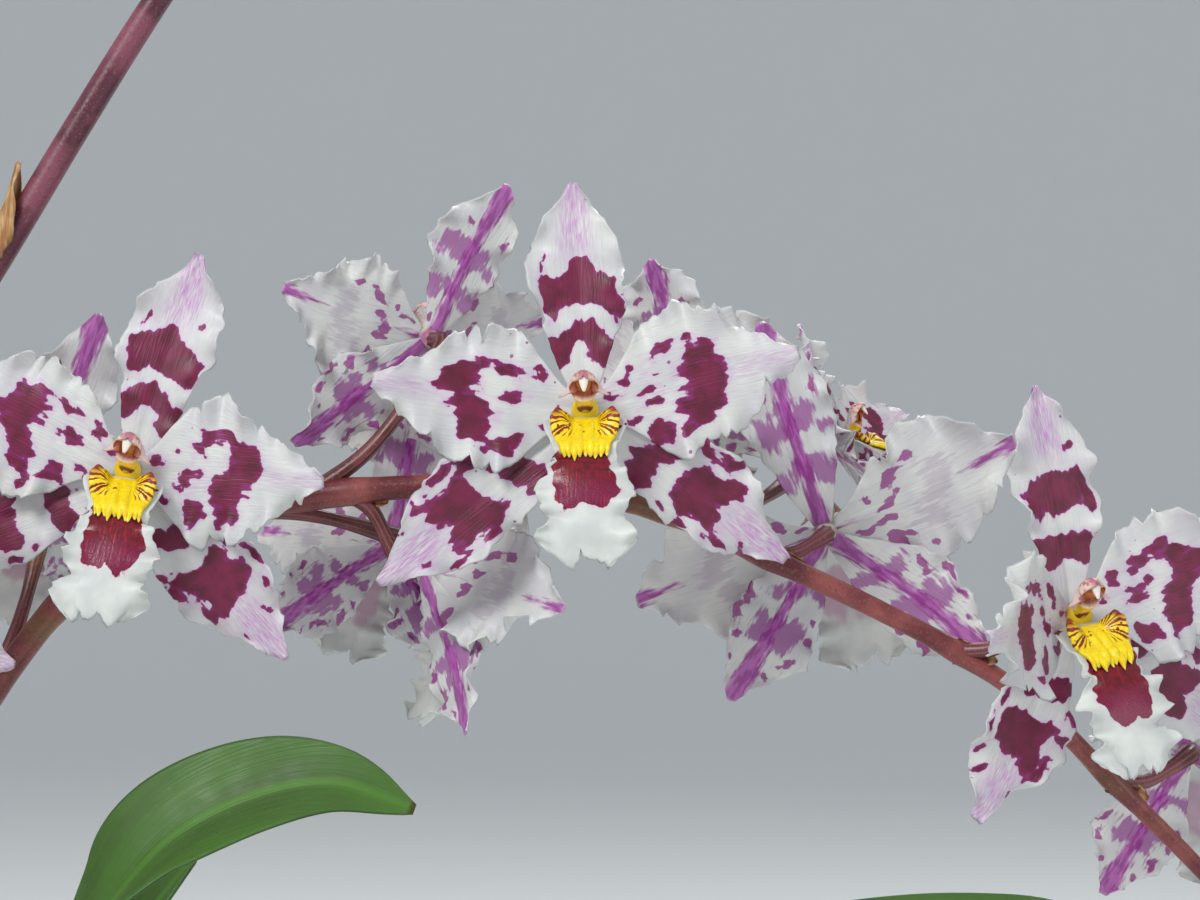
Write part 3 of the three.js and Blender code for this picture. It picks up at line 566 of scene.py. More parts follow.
def spineAt(organ, t):
    slices = tepalFinish["slices"]

    def angleAt(k):
        return organ["bow"] * (1 - 2 * k) + organ["curl"] * np.maximum(0, (k - 0.6) / 0.4) ** 2

    along = np.zeros_like(t)
    out = np.zeros_like(t)
    for i in range(slices):
        angle = angleAt(t * (i + 0.5) / slices)
        along += np.cos(angle) * organ["length"] * t / slices
        out += np.sin(angle) * organ["length"] * t / slices
    return along, out, angleAt(t)


def organFrame(axes, organ):
    centre, front, up, right = axes
    outward = between(up, right, organ["turn"])
    side = between(right, up, -organ["turn"])
    tip = between(outward, front, organ["lean"])
    face = between(front, outward, -organ["lean"])
    start = centre + outward * tepalFinish["hubStart"] * organ["size"] - front * organ["back"]
    return start, tip, between(face, side, -organ["roll"]), between(side, face, organ["roll"])


def marginTeeth(organ, s, t, late):
    # How far the jagged margin stands out or is torn in, in millimetres.
    own, sideNo, margin = organ["own"], (s > 0) * 1.7, np.abs(s)
    teeth = 0
    for k, count in enumerate((5.7, 10.3, 18.1)):
        wave = np.abs(np.sin(np.pi * count * t + own[2 + k] + sideNo * (1 + k)))
        teeth = teeth + (1 - wave) ** 1.5 / (1 + 0.7 * k)
    teeth = (teeth - 0.6) * organ["teeth"] * margin**6 * late
    for place, sign in organ["torn"]:
        teeth = teeth - organ["splits"] * bulge(t, place, 0.013) * (s * sign > 0) * margin**4
    corner = organ["corner"] * bulge(t, 0.35, 0.07) * (s * organ["lowSide"] > 0) * margin**3
    return teeth + corner


def organSurface(axes, organ, s, t):
    start, tip, face, side = organFrame(axes, organ)
    margin, own, sideNo = np.abs(s), organ["own"], (s > 0) * 1.7
    late = ease(t, 0.12, 0.4) * (1 - 0.5 * ease(t, 0.85, 1))
    notched = t * (1 - organ.get("notch", 0) * np.maximum(0, 1 - 2 * margin) * t**4)
    half = profile(organ["outline"], t ** organ["early"]) * organ["size"]
    sway = np.sin(2 * np.pi * 1.6 * t + own[5] + 2 * sideNo) + 0.6 * np.sin(2 * np.pi * 3.3 * t + own[6] - sideNo)
    half = half * (1 + organ["sway"] * margin**2 * late * sway)
    envelope = ease(t, 0.2, 0.55) * (1 - 0.7 * t**6)
    phase = np.where(s > 0, organ["phaseRight"], organ["phaseLeft"])
    lift = organ["cup"] * half * s * s + organ["spout"] * half * s * s * ease(t, 0.66, 0.95)
    lift += organ["ruffle"] * envelope * margin**3 * np.cos(2 * np.pi * organ["waves"] * t + phase)
    lift += s * half * np.sin(organ["twist"] * t * t)
    frill = np.sin(2 * np.pi * organ["frillWaves"] * t + own[0] + sideNo) + 0.5 * np.sin(
        2 * np.pi * 1.9 * organ["frillWaves"] * t + own[1] - sideNo)
    lift += organ["frill"] * late * margin**4 * frill
    lift -= organ["groove"] * bulge(s * half, 0, 0.9) * (1 - 0.7 * t)
    if "notch" in organ:  # the lip: raised shoulders, side lobes, narrow waist and frilled apron
        shoulder = bulge(t, 0.09, 0.07)
        waist = bulge(t, 0.73, 0.06)
        apron = ease(t, 0.74, 0.9)
        lift += margin**2 * (1.3 * shoulder - 2.4 * waist) + apron * 1.9 * margin**1.5 * np.cos(5.6 * s + own[1])
        fringe = 0.014 * np.sin(11 * s + own[2]) + 0.012 * np.abs(np.sin(19 * s + own[3]))
        for place in (0.62 * np.sin(own[4]), 0.62 * np.sin(own[4] + 2.4)):
            fringe = fringe - 0.055 * bulge(s, place, 0.05)
        notched = notched * (1 - 0.06 * margin**3 * t**3) * (1 + fringe * t**8)
    along, out, angle = spineAt(organ, notched)
    reach = s * half + np.sign(s) * marginTeeth(organ, s, t, late) + organ["sweep"] * np.sin(np.pi * t) ** 2
    return (
        start
        + tip * (along - np.sin(angle) * lift)[..., None]
        + face * (out + np.cos(angle) * lift)[..., None]
        + side * reach[..., None]
    )


def bloomOrgans(bloom, seed):
    _, centre, facing, upward, _, size, own = bloom
    draw = seededDraw(seed)

    def spread(amount):
        return (2 * draw() - 1) * amount

    front = unit(facing)
    up = np.array(upward, float)
    up = unit(up - front * up.dot(front))
    axes = np.array(centre, float), front, up, np.cross(up, front)
    extra = np.random.RandomState(100 + seed)
    organs = {}
    for key, plain in tepals.items():
        turn, lean, longer = own.get(key, [0, 0, 1])
        isPetal, organSize = "petal" in key, size * (1 + spread(0.03))
        organs[key] = {
            **plain,
            "size": organSize,
            "turn": math.radians(plain["turn"] + turn + spread(2)),
            "lean": math.radians(plain["lean"] + lean + spread(3)),
            "bow": math.radians(plain["bow"] + spread(4)),
            "curl": math.radians(spread(18)),
            "length": plain["length"] * organSize * longer,
            "roll": math.radians(spread(4)),
            "sweep": spread(0.8),
            "phaseRight": 0 if draw() < 0.5 else math.pi,
            "phaseLeft": 0 if draw() < 0.5 else math.pi,
            "own": extra.uniform(0, 6.28, 8),
            "plainLength": plain["length"],
            "early": extra.uniform(0.86, 1.2) if isPetal else 1,
            "twist": math.radians(extra.uniform(-16, 16)) if key != "lip" else 0,
            "torn": [(extra.uniform(0.3, 0.86), extra.choice([-1, 1])) for _ in range(6)],
            "corner": extra.uniform(0.4, 2.4) if isPetal else 0,
            "lowSide": -1 if "Left" in key else 1,
        }
    return axes, organs, extra


def blotchField(marks, x, y, length, extra, mirror):
    # Signed distance to the blotches in millimetres, above nought inside them. The second is for small spots alone.
    warp = extra.uniform(0, 6.28, 6)
    wx = x + 0.8 * np.sin(0.5 * y + warp[0]) + 0.4 * np.sin(1.1 * x + warp[1]) + 0.25 * np.sin(2.3 * y + warp[2])
    wy = y + 0.6 * np.sin(0.45 * x + warp[3]) + 0.35 * np.sin(1.2 * y + warp[4]) + 0.25 * np.sin(2.1 * x + warp[5])
    total, small = np.full(x.shape, 1e-9), np.full(x.shape, 1e-9)
    blend = 0.3
    for place, across, halfLength, halfWidth, turn in marks:
        shift = extra.uniform(-0.6, 0.6, 2)
        grow = 1 + extra.uniform(-0.12, 0.12)
        least = min(halfLength, halfWidth)
        if least < 1.3 and extra.uniform() < 0.15:
            continue
        dx = wx - place * length - shift[0]
        dy = wy - (-across if mirror else across) - shift[1]
        angle = math.radians(-turn if mirror else turn)
        along = dx * math.cos(angle) + dy * math.sin(angle)
        beside = dy * math.cos(angle) - dx * math.sin(angle)
        far = np.sqrt((along / (halfLength * grow)) ** 2 + (beside / (halfWidth * grow)) ** 2)
        inside = np.exp(np.clip((1 - far) * least / blend, -60, 40))
        total += inside
        if least < 1.5:
            small += inside
    return [np.clip(blend * np.log(field), -4, 6) for field in (total, small)]


def tepalPart(axes, organ, key, extra):
    isLip = key == "lip"
    across = tepalFinish["lipAcross"] if isLip else tepalFinish["across"]
    along = tepalFinish["lipAlong"] if isLip else tepalFinish["along"]
    x = np.linspace(-1, 1, across + 1)
    s, t = np.meshgrid(0.45 * x + 0.55 * np.sin(x * np.pi / 2), np.linspace(0, 1, along + 1))
    middle = organSurface(axes, organ, s, t)
    thickness = tepalFinish["thickness"] * np.sqrt(1 - 0.75 * np.abs(s) ** 6) * (1.6 - 0.8 * ease(t, 0, 0.3))
    width = profile(organ["outline"], t)
    beside = s * width
    far = t * organ["plainLength"]
    kind = "petal" if "petal" in key else "lateral" if "lateral" in key else key
    isSepal = kind in ("dorsal", "lateral")
    paint, spots = blotchField(markings[kind], far, beside, organ["plainLength"], extra, "Left" in key)
    wideFlush = (7.5 - 5.5 * t) if isSepal else (3.4 - 1.6 * t)
    flush = ease(t, 0.58, 0.78) * np.exp(-((beside / wideFlush) ** 4)) * (0 if isLip else 1.1 if isSepal else 0.6)
    flush = flush + 0.3 * (1 - ease(t, 0, 0.2)) + 0.2 * extra.uniform(0, 1) * ease(t, 0.3, 0.9)
    speckle = bulge(t, 0.28, 0.16) * (0.2 if isLip else 1) + 0.5 * ease(np.abs(s), 0.55, 0.95)
    ridge = profile(tepalFinish["sepalKeel" if isSepal else "petalKeel"], t) - np.abs(beside)
    blade = np.stack([beside, far, np.full_like(s, 7.0 * extra.uniform(1, 9))], -1)
    attributes = {
        "blotch": paint, "spots": spots, "flush": flush, "speckle": speckle, "ridge": ridge, "blade": blade,
        "sepal": np.full_like(s, float(isSepal)),
    }
    return *gridShell(middle, thickness, attributes), int(isLip)


columnShape = {
    "tilt": 30, "sides": 28, "length": 11.8, "neck": 6.0,
    "halfWidth": [[0, 2.0], [2, 1.8], [4.5, 1.8], [6.5, 2.3], [8.4, 2.8], [9.8, 2.5], [11, 1.6], [11.8, 0.3]],
    "over": [[0, 1.9], [3, 1.7], [6, 2.1], [8.4, 2.9], [9.8, 2.8], [11, 2.2], [11.8, 1.2]],
    "under": [[0, 1.9], [3, 1.7], [6, 1.9], [7.2, 1.9], [8.4, 1.2], [9.6, 0.3], [11, -0.3], [11.8, -0.6]],
    "cavityFrom": 6.4, "cavityTo": 10.4, "cavityDepth": 1.5,
    "hub": [(-3.6, 1.5), (-3.0, 1.95), (-1.6, 2.2), (0, 2.5), (1.4, 2.6), (2.4, 2.2)], "hubSides": 20, "hubSplit": 1.2,
    "beak": {"out": 10.9, "back": 0.9, "rise": 0.3, "drop": 2.1, "radius": 0.95, "taper": 0.72},
    "wing": {"inner": 1.7, "flare": 2.3, "top": 5.5, "drop": 3.0, "forward": 6.9, "back": 1.4, "thickness": 0.45},
}


def columnParts(axes, size):
    shape = columnShape
    tilt = math.radians(shape["tilt"])
    centre, front, up, right = axes
    axis, roof = between(front, up, tilt), between(up, front, -tilt)
    outs = np.concatenate([np.linspace(0, shape["neck"], 8), np.linspace(shape["cavityFrom"], shape["length"], 24)])
    angles = roundAngles(shape["sides"])
    out, angle = np.meshgrid(outs, angles, indexing="ij")
    wide = profile(shape["halfWidth"], out)
    high = np.where(np.sin(angle) > 0, profile(shape["over"], out), profile(shape["under"], out))
    hollow = ease(out, shape["cavityFrom"], shape["cavityFrom"] + 0.8) * (
        1 - ease(out, shape["cavityTo"] - 0.6, shape["cavityTo"]))
    below = ease(-np.sin(angle), 0.3, 0.75)
    x = wide * np.cos(angle)
    y = high * np.sin(angle) + shape["cavityDepth"] * hollow * below
    rings = centre + size * (right * x[..., None] + roof * y[..., None] + axis * out[..., None])
    inside = ease(out, shape["cavityFrom"], shape["cavityFrom"] + 0.5) * ease(-np.sin(angle), 0.0, 0.3)
    inside = inside * (1 - ease(out, shape["cavityTo"], shape["cavityTo"] + 0.5))
    neck = ease(-np.sin(angle), -0.3, 0.2) * (1 - ease(out, shape["neck"], shape["neck"] + 0.8))
    cap = ease(out, 7.6, 9.4) * (0.4 + 0.6 * ease(np.sin(angle), -0.5, 0.3))
    tints = {
        "hollow": capped(inside), "neck": capped(neck), "cap": capped(cap, top=1),
        "blade": np.vstack([np.stack([x, out, angle], -1).reshape(-1, 3), np.zeros((2, 3))]),
    }
    parts = [(*loftShell(rings), tints, 2)]
    wing, beak = shape["wing"], shape["beak"]
    for sign in (-1, 1):  # the two wings that flare beside the cavity
        u, v = np.meshgrid(np.linspace(0, 1, 11), np.linspace(0, 1, 13))
        x = sign * (wing["inner"] + (0.9 + wing["flare"] * v**1.4) * u - 0.5 * v * (1 - u))
        rise = wing["top"] - wing["drop"] * v * (0.72 + 0.28 * u) + 0.2 * np.sin(9 * u + 4 * v) * u
        ahead = wing["forward"] + 0.9 * (1 - v) - wing["back"] * u + 0.4 * np.sin(np.pi * u) * v
        middle = centre + size * (right * x[..., None] + up * rise[..., None] + front * ahead[..., None])
        grids = {"wing": 0.15 + 0.85 * u, "blade": np.stack([u * 3, v * 4, u * 0], -1)}
        parts.append((*gridShell(middle, wing["thickness"] * size, grids), 2))
    rings = []
    for k in np.linspace(0, 1, 8):  # the beak that hangs in the cavity
        spot = axis * (beak["out"] - beak["back"] * k) + roof * (beak["rise"] - beak["drop"] * k)
        radius = beak["radius"] * (1 - beak["taper"] * k**1.4)
        ring = [spot + right * radius * math.cos(a) + axis * radius * 0.7 * math.sin(a) for a in angles[::2]]
        rings.append(centre + size * np.array(ring))
    verts, faces = loftShell(rings)
    parts.append((verts, faces, {"beak": np.ones(len(verts))}, 2))
    return parts


def hubPart(axes, size):
    centre, front, up, right = axes
    angles = roundAngles(columnShape["hubSides"])
    rings = []
    for forward, radius in columnShape["hub"]:
        ring = [front * forward + radius * (right * math.cos(a) - up * math.sin(a)) for a in angles]
        rings.append(centre + size * np.array(ring))
    verts, faces = loftShell([ring[::-1] for ring in rings])
    ahead = (verts - centre) @ front > columnShape["hubSplit"] * size  # the yellow foot of the column
    return verts, faces, {"hub": 1.0 - ahead, "neck": 1.0 * ahead}, 2


crestShape = {
    "across": 56, "along": 30, "from": 0.045, "to": 0.335,
    "width": [[0, 5.2], [0.2, 6.5], [0.5, 6.1], [0.8, 4.9], [1, 4.4]],
    "fanRise": 2.5, "base": 1.0, "least": 0.62, "thin": 0.9, "stripes": 27, "long": 9.6,
    "apex": (1.7, 2.0),  # across and along, where the stripes of a wing meet
}


def crestPiece(name, axes, organ):
    b, a = sheetGrid(crestShape["along"] + 1, crestShape["across"] + 1)
    own = organ["own"]
    t = crestShape["from"] + (crestShape["to"] - crestShape["from"]) * b
    comb = np.abs(np.sin(np.pi * 4.5 * a + own[3])) ** 0.8 + 0.6 * np.abs(np.sin(np.pi * 2.2 * a + own[4]))
    t = t + 0.032 * ease(b, 0.72, 1) * (comb - 0.7)
    t = t + 0.03 * ease(b, 0.7, 1) * bulge(np.abs(a), 0.42, 0.08)
    size = organ["size"]
    plain = dict(organ, frill=0, teeth=0, splits=0, groove=0)
    line = organSurface(axes, plain, a * 0, t)
    ahead = organSurface(axes, plain, a * 0, t + 0.01) - line
    side = organFrame(axes, organ)[3]
    normal = unit(np.cross(np.broadcast_to(side, ahead.shape), ahead))
    x = a * profile(crestShape["width"], b) * size
    spot = np.abs(x) / size
    fan = ease(spot, 1.6, 5.4) * (1 - ease(b, 0.1, 0.62))
    far = b * crestShape["long"]
    apexAcross, apexAlong = crestShape["apex"]
    angle = np.arctan2(far - apexAlong, spot - apexAcross)
    reach = np.hypot(far - apexAlong, spot - apexAcross)
    ridges = np.cos(0.6 * crestShape["stripes"] * angle)
    height = crestShape["base"] + crestShape["fanRise"] * fan
    height = height + 0.16 * ridges * ease(spot, 2.2, 3.6) * (1 - ease(b, 0.5, 0.7))
    height = height + 0.55 * bulge(spot, 1.1, 0.5) * ease(b, 0.1, 0.4) + 0.5 * bulge(b, 0.82, 0.14)
    height = height - 0.9 * ease(b, 0.88, 1) + 0.18 * np.sin(5 * a + own[5]) * ease(b, 0.4, 0.8)
    height = np.maximum(height, crestShape["least"]) * size
    over = line + side * x[..., None] + normal * height[..., None]
    thin = np.minimum(crestShape["thin"], height - 0.36)
    middle = over - normal * (thin / 2)[..., None]
    blade = np.stack([x, far, np.full_like(a, own[6] * 9)], -1)
    striped = ease(reach, 0.6, 1.3) * ease(spot, 2.0, 3.0) * (1 - ease(far, 5.2, 6.0))
    tip = ease(reach, 2.5, 3.7) * (1 - ease(far, 1.2, 2.8))
    grids = {"stripe": crestShape["stripes"] * angle, "striped": striped, "blade": blade, "tip": tip}
    verts, faces, packed = gridShell(middle, thin, grids)
    packed.pop("rear")
    return meshPiece(name, verts, faces, packed, [finishes["crest"]])


def makeTepalFinish():
    finish = newFinish("spotted petal", 0.42)
    blade = read("blade", "Vector")
    blotch, sepal = read("blotch"), read("sepal")
    streaks = noise(stretch(blade, (1.5, 0.25, 1)), 1.0, 3)
    fingers = minus(noise(stretch(blade, (1, 0.42, 1)), 0.85, 1.5, 0.4), 0.5)
    cells = minus(noise(blade, 5.0, 1), 0.5)
    edge = plus(times(fingers, 1.7), times(cells, 0.14))
    distance = plus(blotch, edge)
    dots = put("ShaderNodeTexVoronoi", {"Vector": blade, "Scale": 0.5}).outputs
    chosen, larger, _ = put("ShaderNodeSeparateColor", {0: dots["Color"]}).outputs
    chance = maths("LESS_THAN", chosen, times(read("speckle"), 0.3))
    dotSize = plus(times(larger, 0.14), 0.05)
    far = plus(dots["Distance"], times(cells, 0.1))
    dotMask = times(span(minus(dotSize, far), -0.02, 0.03), chance)
    core = mix(cloud(blade, 0.3, 3, 0.35, 0.7), (116, 10, 60), (90, 5, 40))
    core = layered(core, (cloud(blade, 4.2, 2, 0.55, 0.75, 0.7), 0.3, (148, 46, 106)))
    rim = mix(span(distance, 0.0, 0.6), (134, 26, 104), core)
    white = mix(cloud(blade, 0.14, 2, 0.3, 0.7), (216, 218, 213), (201, 201, 203))
    veins = cloud(stretch(blade, (3.0, 0.12, 1)), 1.0, 2, 0.5, 0.8)
    white = layered(white, (veins, 0.25, (182, 178, 187)))
    flush = times(read("flush"), cloud(stretch(blade, (2.6, 0.3, 1)), 1.4, 3, 0.25, 0.75))
    front = layered(
        white, (flush, 0.85, (190, 134, 192)), (span(distance, -0.7, 0.05), 0.35, (206, 148, 206)),
        (dotMask, 0.85, (146, 50, 136)), (span(distance, -0.05, 0.07), 1, rim))
    ghost = span(plus(blotch, times(minus(streaks, 0.5), 4.6)), -0.1, 1.0)
    ghost = times(ghost, plus(times(sepal, 0.48), 0.32))
    marks = span(plus(read("spots"), times(edge, 0.7)), -0.05, 0.15)
    band = plus(read("ridge"), times(minus(streaks, 0.5), 3.6))
    stripe = mix(span(streaks, 0.4, 0.62), (176, 84, 172), (142, 32, 134))
    back = layered(
        white, (veins, 0.4, (196, 204, 186)), (ghost, 1, mix(sepal, (150, 128, 156), (150, 60, 146))),
        (marks, 0.85, (146, 44, 130)), (span(band, -0.8, 0.6), 0.92, stripe))
    fine = bump(noise(stretch(blade, (2.6, 0.2, 1)), 1.0, 2), 0.3, 0.0005)
    return dress(finish, {
        "Base Color": mix(read("rear"), front, back), "Normal": bump(cells, 0.15, 0.0002, fine),
        "Sheen Weight": 0.06, **translucent(0.12, 0.0015, (0.9, 0.6, 0.7)),
    })


def makeLipFinish():
    finish = newFinish("lip with glossy blotch", 0.4)
    blade = read("blade", "Vector")
    ragged = noise(stretch(blade, (1, 0.6, 1)), 0.9, 2, 0.4)
    distance = plus(read("blotch"), times(minus(ragged, 0.5), 1.3))
    mask = span(distance, -0.05, 0.08)
    upper = mix(cloud(blade, 0.8, 3, 0.35, 0.7), (126, 8, 32), (90, 4, 24))
    lower = mix(cloud(blade, 4.5, 2, 0.45, 0.7, 0.7), (116, 12, 54), (146, 42, 88))
    streak = cloud(stretch(blade, (1.6, 0.14, 1)), 1.0, 2, 0.62, 0.7)
    blotch = layered(upper, (span(component(blade, 1), 14.5, 19.0), 1, lower), (streak, 0.4, (190, 40, 50)))
    white = mix(cloud(blade, 0.18, 2, 0.3, 0.7), (220, 223, 217), (202, 206, 203))
    white = layered(white, (cloud(stretch(blade, (2.4, 0.14, 1)), 1.0, 2, 0.52, 0.8), 0.2, (200, 198, 204)))
    front = layered(white, (span(distance, -0.7, 0.1), 0.22, (214, 150, 190)), (mask, 1, blotch))
    back = layered(white, (span(distance, -0.6, 1.5), 0.55, (176, 104, 150)))
    gloss = times(mask, minus(1.0, read("rear")))
    fine = bump(noise(stretch(blade, (2.0, 0.25, 1)), 1.0, 2), 0.14, 0.0004)
    return dress(finish, {
        "Base Color": mix(read("rear"), front, back), "Roughness": span(gloss, 0, 1, 0.48, 0.27),
        "Normal": bump(noise(blade, 2.5, 2), 0.12, 0.0003, fine), **translucent(0.1, 0.0015, (0.9, 0.6, 0.7)),
    })


def makeColumnFinish():
    finish = newFinish("column", 0.38)
    blade = read("blade", "Vector")
    across, out = maths("ABSOLUTE", component(blade, 0)), component(blade, 1)
    fine = noise(blade, 1.6, 3)
    arch = plus(times(maths("POWER", across, 2.0), 0.9), times(fine, 1.2))
    inside = span(plus(out, times(arch, 1.6)), 4.2, 3.4)
    hoop = times(span(plus(out, arch), 5.6, 4.8), minus(1.0, times(inside, 0.75)))
    brown = times(times(span(out, 1.0, 1.8), hoop), read("neck"))
    capColour = mix(span(fine, 0.4, 0.65), (232, 202, 184), (186, 110, 118))
    capColour = mix(span(across, 1.3, 0.3), capColour, (188, 118, 130))
    wing = span(plus(read("wing"), times(fine, 0.4)), 0.5, 0.85)
    base = layered(
        mix(span(fine, 0.4, 0.7), (232, 226, 220), (222, 190, 200)),
        (cloud(blade, 2.2, 2, 0.62, 0.68), 0.5, (160, 60, 90)),
        (read("neck"), 1, mix(span(fine, 0.35, 0.7), (252, 220, 30), (240, 186, 20))),
        (brown, 1, (112, 30, 18)), (read("cap"), 1, capColour),
        (read("hollow"), 1, mix(cloud(blade, 0.9, 2, 0.35, 0.65), (196, 108, 20), (134, 48, 18))),
        (span(read("wing"), 0.02, 0.12), 1, mix(wing, (176, 84, 56), (226, 196, 190))),
        (read("beak"), 1, (246, 236, 226)),
        (read("hub"), 1, mix(cloud(objectPlace(), 260.0, 2, 0.4, 0.65), (206, 204, 178), (170, 104, 140))))
    return dress(finish, {"Base Color": base, "Normal": bump(fine, 0.2, 0.0004), **translucent(0.12, 0.0015)})


def makeCrestFinish():
    finish = newFinish("yellow crest", 0.36)
    blade = read("blade", "Vector")
    far = component(blade, 1)
    fine = noise(blade, 1.5, 3)
    wobble = times(minus(noise(blade, 0.8, 2), 0.5), 5.0)
    waves = maths("SINE", plus(read("stripe"), wobble))
    line = times(span(plus(waves, times(noise(blade, 1.3, 2), 0.9)), 0.55, 0.9), read("striped"))
    yellow = mix(span(fine, 0.35, 0.7), (255, 228, 16), (248, 206, 8))
    red = mix(span(fine, 0.4, 0.65), (122, 8, 30), (164, 30, 50))
    dots = put("ShaderNodeTexVoronoi", {"Vector": blade, "Scale": 1.05}).outputs
    band = times(span(far, 1.6, 2.4), span(far, 5.4, 4.4))
    dot = times(span(dots["Distance"], 0.3, 0.2), band)
    chance = maths("LESS_THAN", take("ShaderNodeSeparateColor", {0: dots["Color"]}), 0.5)
    base = layered(
        yellow, (span(far, 8.8, 9.9), 1, (244, 236, 130)), (line, 1, (136, 26, 16)), (read("tip"), 0.95, red),
        (dot, chance, (130, 34, 20)))
    return dress(finish, {"Base Color": base, "Normal": bump(fine, 0.25, 0.0004), **translucent(0.1, 0.0015)})


finishes = {
    "tepal": makeTepalFinish(), "lip": makeLipFinish(), "column": makeColumnFinish(), "crest": makeCrestFinish(),
}

petalFinishes = [finishes["tepal"], finishes["lip"], finishes["column"]]
bloomAxes = {}
for number, bloom in enumerate(blooms, 1):
    axes, organs, extra = bloomOrgans(bloom, number)
    bloomAxes[bloom[0]] = axes
    parts = [tepalPart(axes, organs[key], key, extra) for key in tepals]
    parts += columnParts(axes, bloom[5])
    parts.append(hubPart(axes, bloom[5]))
    place(partsPiece(bloom[0] + ".petals", parts, petalFinishes), "petal", bloom[0])
    crestName = bloom[0].replace("bloom", "crest")
    place(crestPiece(crestName + ".fans", axes, organs["lip"]), "crest", crestName)
print("blooms:", len(blooms))


# Spikes

mainSpike = {
    "route": [
        [10, -2, 80], [8, -2, 130], [8, -1, 170], [14, 0, 210], [24, 0, 238], [38, 0, 264], [55, 0, 287.5],
        [66.5, 0, 302], [79, 0, 312], [95, 0, 319], [115, 0, 323], [138, 0, 325], [163, 0, 324.5],
        [184, 0, 320], [205, 0, 310.5], [225, 0, 301], [240, 0, 293], [256, 0, 282], [269, 0, 269],
        [287, 0, 251], [300, -1, 236], [312, -3, 219], [322, -4, 203], [330, -4, 190],
    ],
    "radii": [[0, 3.4], [0.35, 2.7], [0.6, 2.25], [0.85, 1.65], [1, 0.9]],
    "buds": [[0.87, -1, 17], [0.91, 1, 15], [0.945, -1, 13], [0.975, 1, 11], [1, -1, 9]],
    "sheaths": [0.08, 0.17], "rings": 260, "sides": 18,
}

secondSpike = {
    "route": [
        [-12, 8, 80], [-16, 9, 120], [-16, 8, 160], [-12, 7, 205], [-3, 6, 250], [12, 6, 294], [32, 6, 334],
        [54, 6, 369.5], [69, 6, 394.5], [85, 6, 420], [106, 6, 450], [132, 6, 480], [162, 6, 503],
        [194, 4, 516], [226, 2, 518], [254, 0, 510], [274, 0, 498],
    ],
    "radii": [[0, 3.6], [0.4, 2.9], [0.6, 2.65], [0.85, 1.8], [1, 0.9]],
    "buds": [[0.84, -1, 17], [0.9, 1, 15], [0.95, -1, 12], [1, 1, 9]],
    "sheaths": [0.07, 0.2, 0.33], "rings": 260, "sides": 18,
}

stalk = {
    "radius": 1.25, "flare": 0.35, "swell": 0.25, "straight": 5, "gap": 0.35, "hubBack": -3.6, "rings": 26, "ribs": 8,
    "groove": 0.13,
}

joint = {"rise": 0.45, "reach": 0.008, "bareRise": 0.35, "bareReach": 0.006, "bare": (0.06, 0.36, 4)}


def stalkRoute(route, bloom):
    centre, front, _, _ = bloomAxes[bloom[0]]
    at = placeAtX(route, bloom[4])
    root = placeOn(route, at)
    end = centre + front * (stalk["hubBack"] * bloom[5] - stalk["gap"])
    before = end - front * stalk["straight"]
    towards = before - root
    leave = root + headingOn(route, at) * np.linalg.norm(towards) * 0.12 + towards * 0.3
    return smoothRoute([root, leave, before, end]), root, at


def budPlaces(spike, route):
    places, heads, lengths = [], [], []
    for at, side, length in spike["buds"]:
        heading = headingOn(route, at)
        places.append(placeOn(route, at))
        heads.append(unit(heading * 0.75 + np.array([0, side, 0]) * 0.55))
        lengths.append(length)
    return np.array(places), np.array(heads), np.array(lengths)


bud = {  # its length is the unit of its outline: place along, radius
    "outline": [
        (0, 0.03), (0.03, 0.1), (0.12, 0.19), (0.3, 0.25), (0.5, 0.265), (0.7, 0.22), (0.86, 0.13), (0.96, 0.05),
        (1, 0.01),
    ],
    "sides": 18, "seam": 0.07, "full": 0.95, "stalkRings": 10, "stalkLong": 0.56, "foot": 0.52, "droop": -1.2,
    "stalkFoot": 0.8, "stalkSwell": 0.35,
}

smallBract = {"size": (7.5, 7.5, 8.5), "sink": 0.3, "stand": 0.9, "radius": 0.32, "least": 0.04, "thickness": 0.05}

sheath = {"share": 0.03, "halfTurn": [[0, 2.9], [0.4, 2.3], [0.8, 1.0], [1, 0.15]], "off": 0.35, "thickness": 0.4}


def budSource():  # one plump bud, 1 mm long, with the seams of its three folded sepals
    rings = []
    for z, radius in bud["outline"]:
        ring = []
        for k in range(bud["sides"]):
            a = 2 * math.pi * k / bud["sides"]
            seam = 1 - bud["seam"] * (0.5 + 0.5 * math.cos(3 * a)) ** 8
            ring.append((radius * seam * math.cos(a), radius * seam * math.sin(a), z))
        rings.append(ring)
    return meshPiece("bud source", *loftShell(rings))


def bractSource():  # a small folded bract under a stalk, 1 mm long
    t, a = sheetGrid(8, 9, 1.5)
    radius = smallBract["radius"] * (1 - t) ** 0.6 + smallBract["least"]
    middle = np.stack([radius * np.cos(a) - 0.1, radius * np.sin(a), t], -1)
    return meshPiece("bract source", *gridShell(middle, smallBract["thickness"])[:2])


def sheathPiece(spike, route, name):  # sheathing bracts that hug the bare part of a stem
    parts = []
    for number, at in enumerate(spike["sheaths"]):
        t, a = sheetGrid(16, 25)
        here = at + sheath["share"] * t
        heading = headingOn(route, here)
        turn = number * 2.4
        first = unit(np.cross(heading, [math.sin(turn), math.cos(turn), 0]))
        second = np.cross(heading, first)
        angle = a * profile(sheath["halfTurn"], t)
        radius = profile(spike["radii"], here) + sheath["off"]
        radius = radius + 0.9 * np.sin(np.pi * t * 0.75) + 0.1 * np.cos(5 * angle)
        middle = placeOn(route, here) + radius[..., None] * around(first, second, angle)
        parts.append((*gridShell(middle, sheath["thickness"])[:2], {}, 0))
    return partsPiece(name, parts, [finishes["dry"]])


